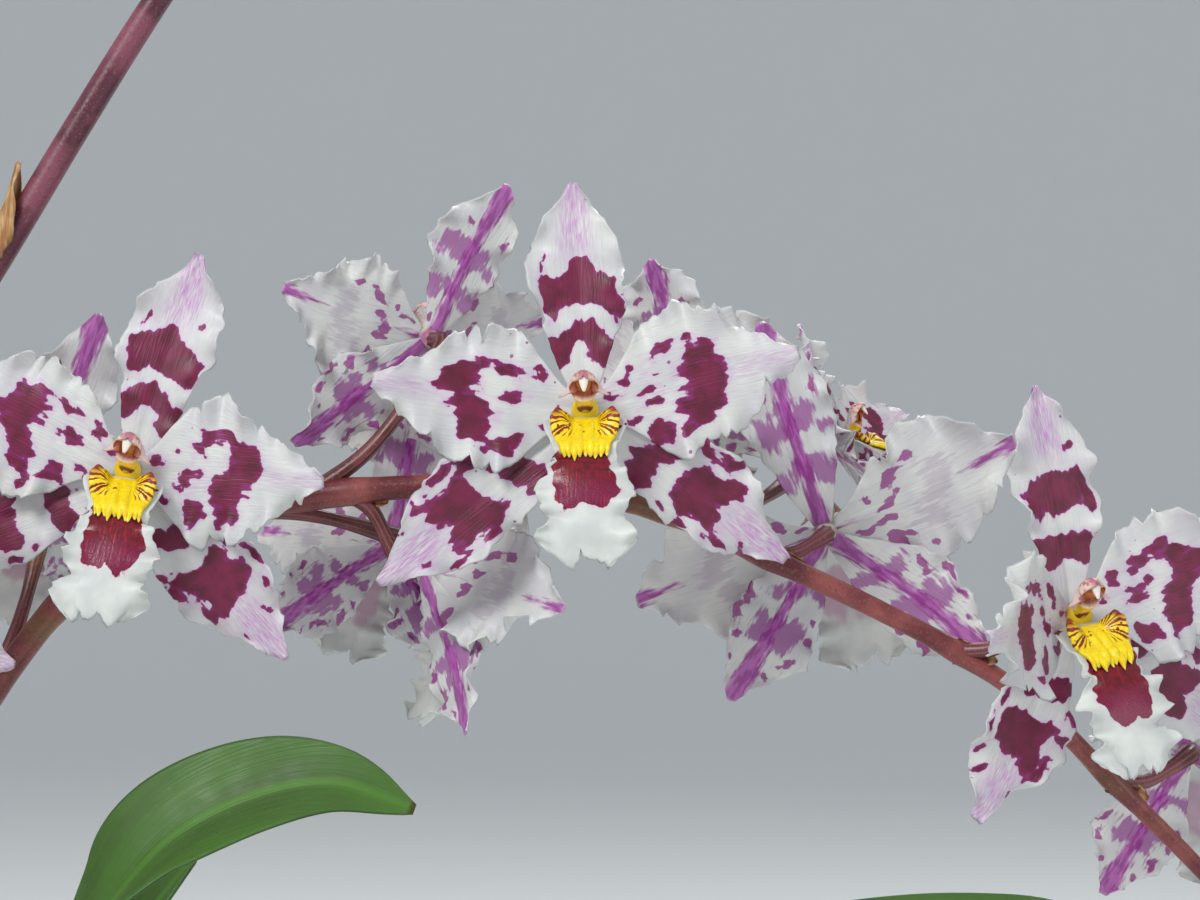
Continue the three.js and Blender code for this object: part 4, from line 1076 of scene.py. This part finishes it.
def spikePiece(name, spike, spikeBlooms):
    route = smoothRoute(spike["route"])
    far = np.linspace(0, 1, spike["rings"])
    radii = profile(spike["radii"], far)
    routes, bractAt, bractHead = [], [], []
    k = np.linspace(0, 1, stalk["rings"])
    swell = 1 + stalk["swell"] * ease(k, 0.45, 0.8) * (1 - ease(k, 0.85, 1))
    thick = stalk["radius"] * (1 + stalk["flare"] * np.abs(2 * k - 1)) * swell
    for bloom in spikeBlooms:
        path, root, at = stalkRoute(route, bloom)
        radii = radii + joint["rise"] * bulge(far, at, joint["reach"])
        routes.append((placeOn(path, k), thick))
        bractAt.append(root - headingOn(route, at) * smallBract["sink"])
        bractHead.append(unit(headingOn(route, at) + unit(headingOn(path, 0.0)) * smallBract["stand"]))
    budAt, budHead, budLength = budPlaces(spike, route)
    k = np.linspace(0, bud["stalkLong"], bud["stalkRings"])
    droop = np.array([0, 0, bud["droop"]]) * (k**2)[:, None]
    for at, head, length in zip(budAt, budHead, budLength):
        routes.append((at + head * length * k[:, None] + droop, bud["stalkFoot"] + bud["stalkSwell"] * k))
    for at in np.linspace(*joint["bare"]):
        radii = radii + joint["bareRise"] * bulge(far, at, joint["bareReach"])
    stem = lines(name + ".stem", [(placeOn(route, far), radii)])
    stems = growTree(stem, tubeTree, {"Ribs": spike["sides"] // 2, "Groove": 0.0, "Finish": finishes["stem"]})
    stalks = growTree(lines(name + ".stalks", routes), tubeTree, {
        "Ribs": stalk["ribs"], "Groove": stalk["groove"], "Finish": finishes["stalk"]})
    oneBud, oneBract = budSource(), bractSource()
    budSizes = [(length * bud["full"],) * 3 for length in budLength]
    buds = points(name + ".buds", budAt + budHead * (budLength * bud["foot"])[:, None], budHead, budSizes)
    buds = growTree(buds, plantTree, {"Piece": oneBud, "Finish": finishes["bud"]})
    bracts = points(name + ".bracts", bractAt, bractHead, [smallBract["size"]] * len(bractAt))
    bracts = growTree(bracts, plantTree, {"Piece": oneBract, "Finish": finishes["dry"]})
    sheaths = sheathPiece(spike, route, name + ".sheaths")
    for source in (oneBud, oneBract):
        bpy.data.objects.remove(source)
    return joinPieces(name, [stems, stalks, buds, bracts, sheaths])


def makeStemFinish(name, light, dark, green, stripes=0.0):
    finish = newFinish(name, 0.34)
    at = objectPlace()
    patches = noise(at, 90.0, 3)
    base = layered(
        mix(span(patches, 0.4, 0.62), dark, light), (cloud(at, 35.0, 2, 0.52, 0.68), 0.7, green),
        (span(read("furrow"), 0.6, 1.0), stripes, green), (cloud(at, 2200.0, 2, 0.56, 0.7, 0.6), 0.35, (180, 122, 108)),
        (cloud(at, 1600.0, 2, 0.58, 0.72, 0.6), 0.5, (58, 20, 26)))
    return dress(finish, {
        "Base Color": base, "Roughness": span(patches, 0.3, 0.7, 0.3, 0.46),
        "Normal": bump(noise(at, 1500.0, 2), 0.2, 0.0003), **translucent(0.05, 0.002),
    })


def makeBudFinish():
    finish = newFinish("bud", 0.4)
    at = objectPlace()
    base = mix(cloud(at, 190.0, 3, 0.42, 0.6), (178, 178, 116), (146, 66, 112))
    base = layered(base, (cloud(at, 700.0, 2, 0.55, 0.7), 0.4, (104, 30, 74)))
    return dress(finish, {"Base Color": base, "Normal": bump(noise(at, 900.0, 2), 0.2, 0.0003)})


def makePaperFinish(name, roughness, grain, size, detail, tones, stain, relief):  # dry and papery, with a grain
    finish = newFinish(name, roughness)
    at = objectPlace()
    streaks = noise(stretch(at, (1, 1, grain)), size, detail)
    stainSize, low, tint = stain
    base = layered(mix(span(streaks, 0.35, 0.65), *tones), (cloud(at, stainSize, 3, low, 0.7), 0.6, tint))
    return dress(finish, {"Base Color": base, "Normal": bump(streaks, *relief)})


finishes["stem"] = makeStemFinish("flower stem", (150, 78, 74), (104, 40, 46), (128, 108, 58))
finishes["upperStem"] = makeStemFinish("purple stem", (132, 70, 88), (88, 38, 56), (104, 62, 66))
finishes["stalk"] = makeStemFinish("flower stalk", (132, 62, 78), (96, 34, 50), (140, 130, 66), 0.55)
finishes["bud"] = makeBudFinish()
finishes["dry"] = makePaperFinish(
    "dry bract", 0.7, grain=0.12, size=900.0, detail=3, tones=((206, 170, 118), (156, 102, 58)),
    stain=(130.0, 0.5, (112, 58, 44)), relief=(0.5, 0.0005))

place(spikePiece("main_spike.stem", mainSpike, blooms[:12]), "spike_stem", "main_spike")
upperPiece = spikePiece("second_spike.stem", secondSpike, blooms[12:])
for index, held in enumerate(upperPiece.data.materials):
    if held == finishes["stem"]:
        upperPiece.data.materials[index] = finishes["upperStem"]
place(upperPiece, "spike_stem", "second_spike")
print("spikes: 2")


# The dry bract on the second spike

dryBract = {
    "footX": 54, "share": 0.03, "halfTurn": [[0, 1.9], [0.3, 1.7], [0.7, 0.9], [1, 0.25]], "flare": 2.9, "off": 0.8,
    "thickness": 0.4,
}


def bractPiece():
    route = smoothRoute(secondSpike["route"])
    foot = placeAtX(route, dryBract["footX"])
    t, s = sheetGrid(40, 37)
    here = foot + dryBract["share"] * t
    heading = headingOn(route, here)
    left = unit(np.cross([0, -1, 0], heading))
    front = np.cross(heading, left)
    angle = s * profile(dryBract["halfTurn"], t) * (1 + 0.05 * np.sin(19 * t + 3 * s))
    out = profile(secondSpike["radii"], foot) + dryBract["off"] + dryBract["flare"] * t * t
    out = out + 0.16 * np.cos(9 * angle) * ease(t, 0.05, 0.4) + 0.7 * np.abs(s) ** 4 * np.sin(9 * t + 2 * s)
    middle = placeOn(route, here) + out[..., None] * around(left, front, angle)
    return meshPiece("dry_bract.papery", *gridShell(middle, dryBract["thickness"])[:2], {}, [finishes["dry"]])


place(bractPiece(), "dry_bract", "dry_bract")


# Pseudobulbs

bulb = {
    "height": 82, "halfWidth": 23, "halfDepth": 12.5, "foot": 84, "sides": 56, "rings": 60,
    "shape": [[0, 0.5], [0.08, 0.62], [0.3, 0.95], [0.5, 1], [0.72, 0.82], [0.9, 0.45], [1, 0.2]],
    "sheathTall": (0.62, 0.4, 0.5), "sheathTurn": [[0, 1.9], [0.35, 1.6], [0.75, 0.8], [1, 0.12]], "sheathThick": 0.35,
}

bulbs = [  # name, where it stands, turn, size
    ("pseudobulb_1", [-7, -22], 8, 1), ("pseudobulb_2", [29, 9], -35, 0.92),
    ("pseudobulb_3", [-32, 1], 75, 0.85), ("pseudobulb_4", [-2, 33], 12, 0.8),
]


def bulbPiece(name, at, turn, size, seed):
    draw = np.random.RandomState(40 + seed)
    turn = math.radians(turn)
    across = np.array([math.cos(turn), math.sin(turn), 0])
    deep = np.array([-math.sin(turn), math.cos(turn), 0])
    t, a = np.meshgrid(np.linspace(0, 1, bulb["rings"]), roundAngles(bulb["sides"]), indexing="ij")
    wide = profile(bulb["shape"], t) * size
    body = np.sin(np.pi * np.clip(t, 0, 1)) ** 0.5
    ribs = 0.45 * body * np.cos(9 * a + 1.5 * np.sin(3 * t + seed)) + 0.3 * body * np.cos(17 * a + seed + 2 * t)
    pinch = 1 - 0.07 * np.abs(np.cos(a)) ** 6
    x = (bulb["halfWidth"] * wide + ribs) * np.cos(a)
    y = (bulb["halfDepth"] * wide * pinch + ribs) * np.sin(a)
    rings = np.array([at[0], at[1], 0]) + across * x[..., None] + deep * y[..., None]
    rings[..., 2] = bulb["foot"] + bulb["height"] * size * t
    parts = [(*loftShell(rings), {"rise": capped(t, top=1)}, 0)]
    for number, tall in enumerate(bulb["sheathTall"]):  # papery sheaths that still hug the foot
        facing = 0 if number == 1 else math.pi * (number / 2)
        tall *= draw.uniform(0.8, 1.1)
        u, v = sheetGrid(26, 31)
        angle = facing + v * profile(bulb["sheathTurn"], u)
        level = 0.02 + tall * u
        wide = profile(bulb["shape"], level) * size
        stand = 0.5 + 0.35 * number + 1.1 * u**3 + 0.22 * np.sin(7 * angle + 4 * u + seed)
        stand = stand + 0.5 * np.abs(v) ** 5 * np.sin(8 * u + seed)
        x = (bulb["halfWidth"] * wide + stand) * np.cos(angle)
        y = (bulb["halfDepth"] * wide + stand) * np.sin(angle)
        middle = np.array([at[0], at[1], 0]) + across * x[..., None] + deep * y[..., None]
        middle[..., 2] = bulb["foot"] + bulb["height"] * size * level
        parts.append((*gridShell(middle, bulb["sheathThick"], flip=True)[:2], {}, 1))
    return partsPiece(name + ".green", parts, [finishes["bulb"], finishes["sheath"]])


def makeBulbFinish():
    finish = newFinish("pseudobulb", 0.4)
    at = objectPlace()
    streaks = noise(stretch(at, (1, 1, 0.12)), 420.0, 3)
    ripe = plus(read("rise"), times(noise(at, 80.0, 2), 0.4))
    base = layered(
        mix(cloud(at, 45.0, 3, 0.35, 0.65), (112, 138, 58), (146, 156, 76)),
        (span(streaks, 0.45, 0.7), 0.5, (78, 108, 42)), (span(ripe, 0.4, 0.2), 1, (138, 112, 66)),
        (cloud(at, 520.0, 2, 0.66, 0.74, 0.6), 1, (96, 70, 44)))
    return dress(finish, {"Base Color": base, "Normal": bump(streaks, 0.3, 0.0008)})


finishes["bulb"] = makeBulbFinish()
finishes["sheath"] = makePaperFinish(
    "papery sheath", 0.75, grain=0.08, size=620.0, detail=4, tones=((196, 168, 124), (140, 104, 68)),
    stain=(70.0, 0.52, (92, 64, 44)), relief=(0.6, 0.0006))
for number, (name, at, turn, size) in enumerate(bulbs):
    place(bulbPiece(name, at, turn, size, number), "pseudobulb", name)
print("pseudobulbs:", len(bulbs))


# Leaves

leafShape = {
    "outline": [[0, 0.16], [0.12, 0.4], [0.4, 0.9], [0.65, 1], [0.85, 0.74], [0.95, 0.36], [1, 0.08]],
    "fold": [[0, 1.1], [0.15, 0.75], [0.5, 0.32], [1, 0.3]],
    "turnFrom": 0.45, "turnTo": 0.85, "apart": 3.4, "upright": 9, "gap": 0.35,
    "thickness": 0.8, "across": 30, "along": 110, "keelSoft": 0.012,
}

leaves = [  # name, bulb, side of its top, half width, upper face at foot and arch, the rest of the midrib
    ("leaf_1", 1, -1, 14, ([-0.85, 0.15, 0.5], [-0.35, -0.8, 0.5]), [
        [38, -8, 194], [60, -26, 222], [80, -34, 247], [92, -34, 260], [108, -34, 268], [122, -34, 270],
        [136.5, -34, 265]]),
    ("leaf_2", 3, 1, 13, ([-0.5, -0.6, 0.6], [-0.6, -0.5, 0.6]), [
        [22, 30, 182], [50, 23, 211], [78, 14, 236], [92.5, 10, 253]]),
    ("leaf_3", 1, 1, 15, ([-0.5, -0.2, 0.85], [-0.1, -0.35, 0.93]), [
        [52, -20, 184], [84, -44, 204], [140, -53, 224], [200, -53, 238], [240, -50, 245], [256, -49, 245.5],
        [270, -47, 240]]),
    ("leaf_4", 0, -1, 16, ([0.9, -0.3, 0.4], [0.4, -0.3, 0.85]), [
        [-34, -25, 212], [-70, -30, 252], [-112, -38, 266], [-150, -44, 244]]),
    ("leaf_5", 2, -1, 15, ([0.9, 0.1, 0.4], [0.4, 0.4, 0.8]), [
        [-52, 6, 208], [-80, 18, 262], [-112, 32, 290], [-142, 44, 284]]),
    ("leaf_6", 3, -1, 15, ([0.2, -0.9, 0.4], [0.2, -0.6, 0.75]), [
        [2, 58, 188], [26, 86, 214], [60, 114, 216], [92, 134, 196]]),
    ("leaf_7", 2, 1, 14, ([0.6, -0.6, 0.4], [0.3, -0.5, 0.8]), [
        [-42, 40, 214], [-60, 74, 262], [-84, 104, 280], [-112, 128, 266]]),
    ("leaf_8", 0, 1, 14, ([0.3, 0.8, 0.4], [0.3, 0.6, 0.7]), [
        [-2, -44, 196], [-16, -74, 226], [-38, -106, 230], [-60, -132, 208]]),
]


def leafPiece(name, bulbNumber, sideNo, halfWidth, faces, route):
    _, at, turn, size = bulbs[bulbNumber]
    turn = math.radians(turn)
    foot = np.array([at[0], at[1], bulb["foot"] + bulb["height"] * size + leafShape["gap"]])
    foot[:2] += sideNo * leafShape["apart"] * np.array([math.cos(turn), math.sin(turn)])
    midrib = smoothRoute([foot, foot + [0, 0, leafShape["upright"]], *route])
    x = np.linspace(-1, 1, leafShape["across"] + 1)
    x = 0.6 * x + 0.4 * np.sin(x * np.pi / 2)  # closer rows of points towards the margins
    t, s = np.meshgrid(np.linspace(0, 1, leafShape["along"] + 1), x, indexing="ij")
    heading = headingOn(midrib, t)
    turned = ease(t, leafShape["turnFrom"], leafShape["turnTo"])[..., None]
    face = np.array(faces[0]) * (1 - turned) + np.array(faces[1]) * turned
    face = unit(face - heading * np.sum(face * heading, -1, keepdims=True))
    side = np.cross(heading, face)
    seed = int(name[-1])
    wavy = 0.5 * np.sin(9 * t + seed) + 0.35 * np.sin(17 * t + 2 * seed)
    half = profile(leafShape["outline"], t) * halfWidth * (1 + 0.01 * np.sin(40 * t + seed + 2 * s))
    soft = leafShape["keelSoft"]
    bent = np.sqrt(s * s + soft) - math.sqrt(soft)  # the keel is rounded
    angle = profile(leafShape["fold"], t)
    lift = half * bent * np.sin(angle) + 0.05 * half * s**2 + wavy * s**2 * ease(t, 0.2, 0.5)
    middle = placeOn(midrib, t) + side * (half * s * np.cos(angle))[..., None] + face * lift[..., None]
    thickness = leafShape["thickness"] * (1 + 0.9 * bulge(s, 0, 0.08) * (1 - 0.6 * t))
    blade = np.stack([s * half, t * midrib["length"], np.full_like(t, seed * 31.0)], -1)
    packed = gridShell(middle, thickness, {"blade": blade, "reach": t}, flip=True)
    return meshPiece(name + ".blade", *packed, [finishes["leaf"]])


def makeLeafFinish():
    finish = newFinish("leaf", 0.36)
    blade = read("blade", "Vector")
    across = maths("ABSOLUTE", component(blade, 0))
    veins = noise(stretch(blade, (1.7, 0.02, 1)), 1.0, 2)
    fine = noise(stretch(blade, (5.0, 0.06, 1)), 1.0, 2)
    tip = span(plus(read("reach"), times(noise(blade, 0.3, 2), 0.02)), 0.995, 1.012)
    base = layered(
        mix(cloud(stretch(blade, (0.12, 0.03, 1)), 1.0, 3, 0.35, 0.65), (22, 60, 7), (42, 92, 10)),
        (span(veins, 0.5, 0.75), 0.16, (66, 116, 24)), (span(fine, 0.5, 0.75), 0.3, (22, 56, 9)),
        (span(across, 1.6, 0.2), 1, (58, 116, 14)),
        (cloud(stretch(blade, (1.6, 0.7, 1)), 0.9, 3, 0.66, 0.72, 0.6), 0.3, (122, 150, 98)),
        (cloud(stretch(blade, (1, 0.6, 1)), 0.12, 4, 0.72, 0.76, 0.7), 0.8, (104, 76, 38)), (tip, 1, (120, 88, 46)))
    return dress(finish, {
        "Base Color": mix(read("rear"), base, mix(0.35, base, (98, 134, 58))),
        "Roughness": span(noise(blade, 0.2, 3), 0.3, 0.7, 0.42, 0.58),
        "Normal": bump(fine, 0.25, 0.0003, bump(veins, 0.25, 0.0006)), **translucent(0.05, 0.002),
    })


finishes["leaf"] = makeLeafFinish()
for leaf in leaves:
    place(leafPiece(*leaf), "leaf", leaf[0])
print("leaves:", len(leaves))


# Pot

pot = {
    "sides": 112, "wave": 0.12, "waveAt": 60, "holes": 4, "holeRadius": 5, "holeRing": 21, "drillFrom": -5,
    "drillTo": 15, "sharpAngle": 40,
    "outline": [
        [0, 0], [38.6, 0], [40, 0.25], [40.8, 0.9], [41.1, 1.8], [44, 20], [47.2, 41], [50.4, 62], [53.6, 82.6],
        [54, 83.8], [54.8, 84.3], [58.6, 84.5], [59.6, 85], [60.1, 86.2], [60.5, 96], [61, 106.6], [60.9, 108.4],
        [60.1, 109.6], [58.8, 110], [57, 109.9], [56.1, 109.3], [55.4, 107.6], [52.6, 97], [51, 90], [46.6, 66],
        [41.6, 38], [36, 8.6], [35.2, 8], [0, 8],
    ],
}


def potPiece():
    angles = roundAngles(pot["sides"])
    outline = pot["outline"]
    verts = [(0, 0, outline[0][1])]
    for r, z in outline[1:-1]:
        for a in angles:
            wobble = 1 + pot["wave"] / pot["waveAt"] * math.sin(3 * a + z / 20)
            verts.append((r * wobble * math.cos(a), r * wobble * math.sin(a), z))
    verts.append((0, 0, outline[-1][1]))
    count, last = pot["sides"], len(verts) - 1
    faces = [(0, 1 + (i + 1) % count, 1 + i) for i in range(count)]
    for j in range(len(outline) - 3):
        for i in range(count):
            a, b = 1 + j * count + i, 1 + j * count + (i + 1) % count
            faces.append((a, b, b + count, a + count))
    start = 1 + (len(outline) - 3) * count
    faces += [(start + i, start + (i + 1) % count, last) for i in range(count)]
    piece = meshPiece("pot.clay", verts, faces, {}, [finishes["clay"]])
    drills = []
    for k in range(pot["holes"]):
        turn = 2 * math.pi * (k + 0.5) / pot["holes"]
        middle = pot["holeRing"] * np.array([math.cos(turn), math.sin(turn), 0])
        rings = [circle(pot["holeRadius"], z, angles[::4]) for z in (pot["drillFrom"], pot["drillTo"])]
        drills.append((*loftShell(rings + middle), {}, 0))
    drill = partsPiece("drill", drills)
    cut = piece.modifiers.new("holes", "BOOLEAN")
    cut.object = drill
    cut.solver = "EXACT"
    bake(piece, cut).set_sharp_from_angle(angle=math.radians(pot["sharpAngle"]))
    bpy.data.objects.remove(drill)
    return piece


def makeClayFinish():
    finish = newFinish("terracotta", 0.85)
    at = objectPlace()
    rings = noise(stretch(at, (0.3, 0.3, 6.0)), 40.0, 4)
    damp = span(plus(component(at, 2), times(noise(at, 30.0, 3), 0.02)), 0.035, 0.018)
    base = layered(
        mix(cloud(at, 26.0, 4, 0.35, 0.65, 0.6), (188, 106, 70), (166, 84, 54)),
        (span(rings, 0.45, 0.7), 0.3, (206, 130, 92)), (cloud(at, 18.0, 5, 0.54, 0.7, 0.65), 0.6, (214, 190, 168)),
        (cloud(at, 700.0, 2, 0.64, 0.72, 0.6), 0.5, (120, 62, 42)), (damp, 0.5, (118, 64, 44)))
    ground = bump(noise(at, 900.0, 3, 0.6), 0.35, 0.0004)
    return dress(finish, {"Base Color": base, "Normal": bump(rings, 0.2, 0.0008, ground)})


finishes["clay"] = makeClayFinish()
place(potPiece(), "terracotta", "pot")
print("pot: done")


# Potting bark

bark = {
    "top": 90, "radius": 48.2, "footRadius": 35.4, "foot": 8.6, "sides": 72,
    "chipRadius": 37, "gap": 0.0085, "seed": 5, "chipKinds": 4, "smallest": 0.6, "largest": 1.15, "tilt": 0.5,
    "densest": 60000.0, "chipLift": 0.5, "rimDrop": 3, "lump": 1.2,
    "footShares": (0.03, 0.5, 1), "topShares": (1, 0.96, 0.8, 0.55, 0.3, 0.05), "chipSides": 12,
    "chipLevels": [(-0.5, 0.72), (-0.44, 0.9), (-0.15, 1), (0.2, 0.98), (0.44, 0.88), (0.5, 0.74)],
}


def chipSource(number):  # one broken flake of fir bark
    draw = np.random.RandomState(70 + number)
    long, wide, thick = draw.uniform(18, 24), draw.uniform(10, 15), draw.uniform(4.5, 7)
    sides, rings = bark["chipSides"], []
    corner = draw.uniform(0.72, 1.05, sides)
    for level, shrink in bark["chipLevels"]:
        rough = corner * shrink * draw.uniform(0.93, 1.05, sides)
        ring = []
        for k in range(sides):
            a = 2 * math.pi * k / sides
            square = 1 / max(abs(math.cos(a)), abs(math.sin(a))) ** 0.55
            bow = 0.12 * math.cos(a) ** 2
            ring.append((long / 2 * rough[k] * square * math.cos(a), wide / 2 * rough[k] * square * math.sin(a),
                         thick * (level + bow + draw.uniform(-0.05, 0.05))))
        rings.append(ring)
    return meshPiece("chip source", *loftShell(rings), smooth=False)


def makeScatterTree():  # strews chips over a surface, each lying its own way
    given = newTree("chips strewn on the bed", Chips="Collection", Gap="Float", Seed="Int", Smallest="Float",
                    Largest="Float", Tilt="Float", Densest="Float")
    seed, tilt = given["Seed"], given["Tilt"]
    spread = put("GeometryNodeDistributePointsOnFaces", {
        "Mesh": given["Geometry"], "Distance Min": given["Gap"], "Density Max": given["Densest"], "Seed": seed,
    }, distribute_method="POISSON")
    chips = put("GeometryNodeCollectionInfo", {
        "Collection": given["Chips"], "Separate Children": True, "Reset Children": True})
    back = times(tilt, -1.0)
    low = take("ShaderNodeCombineXYZ", {0: back, 1: back, 2: 0.0})
    high = take("ShaderNodeCombineXYZ", {0: tilt, 1: tilt, 2: 6.28})
    turn = take("FunctionNodeRandomValue", {0: low, 1: high, "Seed": seed}, data_type="FLOAT_VECTOR")
    size = put("FunctionNodeRandomValue", {2: given["Smallest"], 3: given["Largest"], "Seed": seed},
               data_type="FLOAT").outputs[1]
    planted = put("GeometryNodeInstanceOnPoints", {
        "Points": spread.outputs[0], "Instance": chips.outputs[0], "Pick Instance": True,
        "Rotation": take("FunctionNodeEulerToRotation", {0: turn}), "Scale": size,
    })
    return endTree(given, planted.outputs[0])


def barkPiece():
    angles = roundAngles(bark["sides"])
    rings = []
    for share in bark["footShares"]:
        rings.append(circle(bark["footRadius"] * share, bark["foot"], angles))
    for share in bark["topShares"]:
        level = bark["top"] - (bark["rimDrop"] if share == 1 else 0)
        lumps = [level + bark["lump"] * math.sin(5 * a + 9 * share) * share for a in angles]
        rings.append(circle(bark["radius"] * share, lumps, angles))
    bed = meshPiece("bark.bed", *loftShell(rings), {}, [finishes["bark"]])
    chips = bpy.data.collections.new("chips")
    for number in range(bark["chipKinds"]):
        chip = chipSource(number)
        scene.collection.objects.unlink(chip)
        chips.objects.link(chip)
    disc = circle(bark["chipRadius"], bark["top"] + bark["chipLift"], angles)
    ground = meshPiece("bark.chips", disc, [list(range(len(disc)))])
    values = {"Chips": chips, "Finish": finishes["bark"]}
    for key in ("Gap", "Seed", "Smallest", "Largest", "Tilt", "Densest"):
        values[key] = bark[key.lower()]
    strewn = growTree(ground, makeScatterTree(), values, smooth=False)
    for chip in list(chips.objects):
        bpy.data.objects.remove(chip)
    bpy.data.collections.remove(chips)
    return joinPieces("bark.bed", [bed, strewn])


def makeBarkFinish():
    finish = newFinish("fir bark", 0.9)
    at = objectPlace()
    layers = noise(stretch(at, (1, 1, 5)), 240.0, 4, 0.65)
    base = layered(
        mix(cloud(at, 60.0, 3, 0.35, 0.65), (104, 64, 42), (72, 46, 34)),
        (span(layers, 0.5, 0.7), 0.7, (152, 104, 68)), (cloud(at, 700.0, 3, 0.58, 0.7, 0.7), 1, (44, 28, 22)))
    return dress(finish, {"Base Color": base, "Normal": bump(layers, 0.8, 0.0015)})


finishes["bark"] = makeBarkFinish()
place(barkPiece(), "bark", "bark")
print("bark: done")


# Floor, light and camera

studio = {
    "inner": [0.02, 1.0], "flat": 4.5, "bend": 3.0, "bendSteps": 16, "rise": 5.0,  # the backdrop, in metres
    "key": {"at": (-1.05, -1.95, 1.9), "size": 1.0, "power": 46},
    "fill": {"at": (2.1, -1.4, 0.9), "size": 1.5, "power": 10},
    "rim": {"at": (0.7, 1.9, 2.0), "size": 1.1, "power": 26},
    "target": (0.16, 0, 0.3), "sky": (0.92, 0.95, 1, 1), "skyStrength": 0.54, "floor": (226, 229, 229), "sides": 96,
}


def makeFloor():
    finish = dress(newFinish("pale floor", 0.8), {"Base Color": colour(*studio["floor"])})
    angles = roundAngles(studio["sides"])
    turns = np.linspace(0, np.pi / 2, studio["bendSteps"])
    radii = studio["inner"] + (studio["flat"] + studio["bend"] * np.sin(turns)).tolist()
    heights = [0, 0] + (studio["bend"] * (1 - np.cos(turns))).tolist()
    radii.append(radii[-1])
    heights.append(studio["rise"])
    rings = np.array([circle(radius, height, angles) for radius, height in zip(radii, heights)])
    count = len(angles)
    index = np.arange(len(radii) * count).reshape(len(radii), count)
    following = np.roll(index, -1, axis=1)
    faces = np.stack([index[:-1], index[1:], following[1:], following[:-1]], -1).reshape(-1, 4).tolist()
    faces.append(index[0].tolist())
    return meshPiece("floor", rings.reshape(-1, 3) / mm, faces, finishes=[finish])


def makeLight(name, at, size, power):
    lamp = bpy.data.lights.new(name, "AREA")
    lamp.energy = power
    lamp.size = size
    holder = addObject(name, lamp)
    holder.location = at
    holder.rotation_euler = (Vector(studio["target"]) - Vector(at)).to_track_quat("-Z", "Y").to_euler()


makeFloor()
for name in ("key", "fill", "rim"):
    makeLight(name, **studio[name])
scene.view_settings.view_transform = "Standard"
world = bpy.data.worlds.new("studio")
world.use_nodes = True
sky = world.node_tree.nodes["Background"].inputs
sky["Color"].default_value = studio["sky"]
sky["Strength"].default_value = studio["skyStrength"]
scene.world = world

view = {"at": (0.171, -0.9, 0.332), "frameWidth": 0.2321, "sensor": 36}  # the photograph's own frame, in metres
camera = bpy.data.cameras.new("camera")
camera.sensor_width = view["sensor"]
camera.lens = view["sensor"] * -view["at"][1] / view["frameWidth"]
camera.clip_start = 0.01
scene.camera = addObject("camera", camera)
scene.camera.location = view["at"]
scene.camera.rotation_euler = (math.pi / 2, 0, 0)
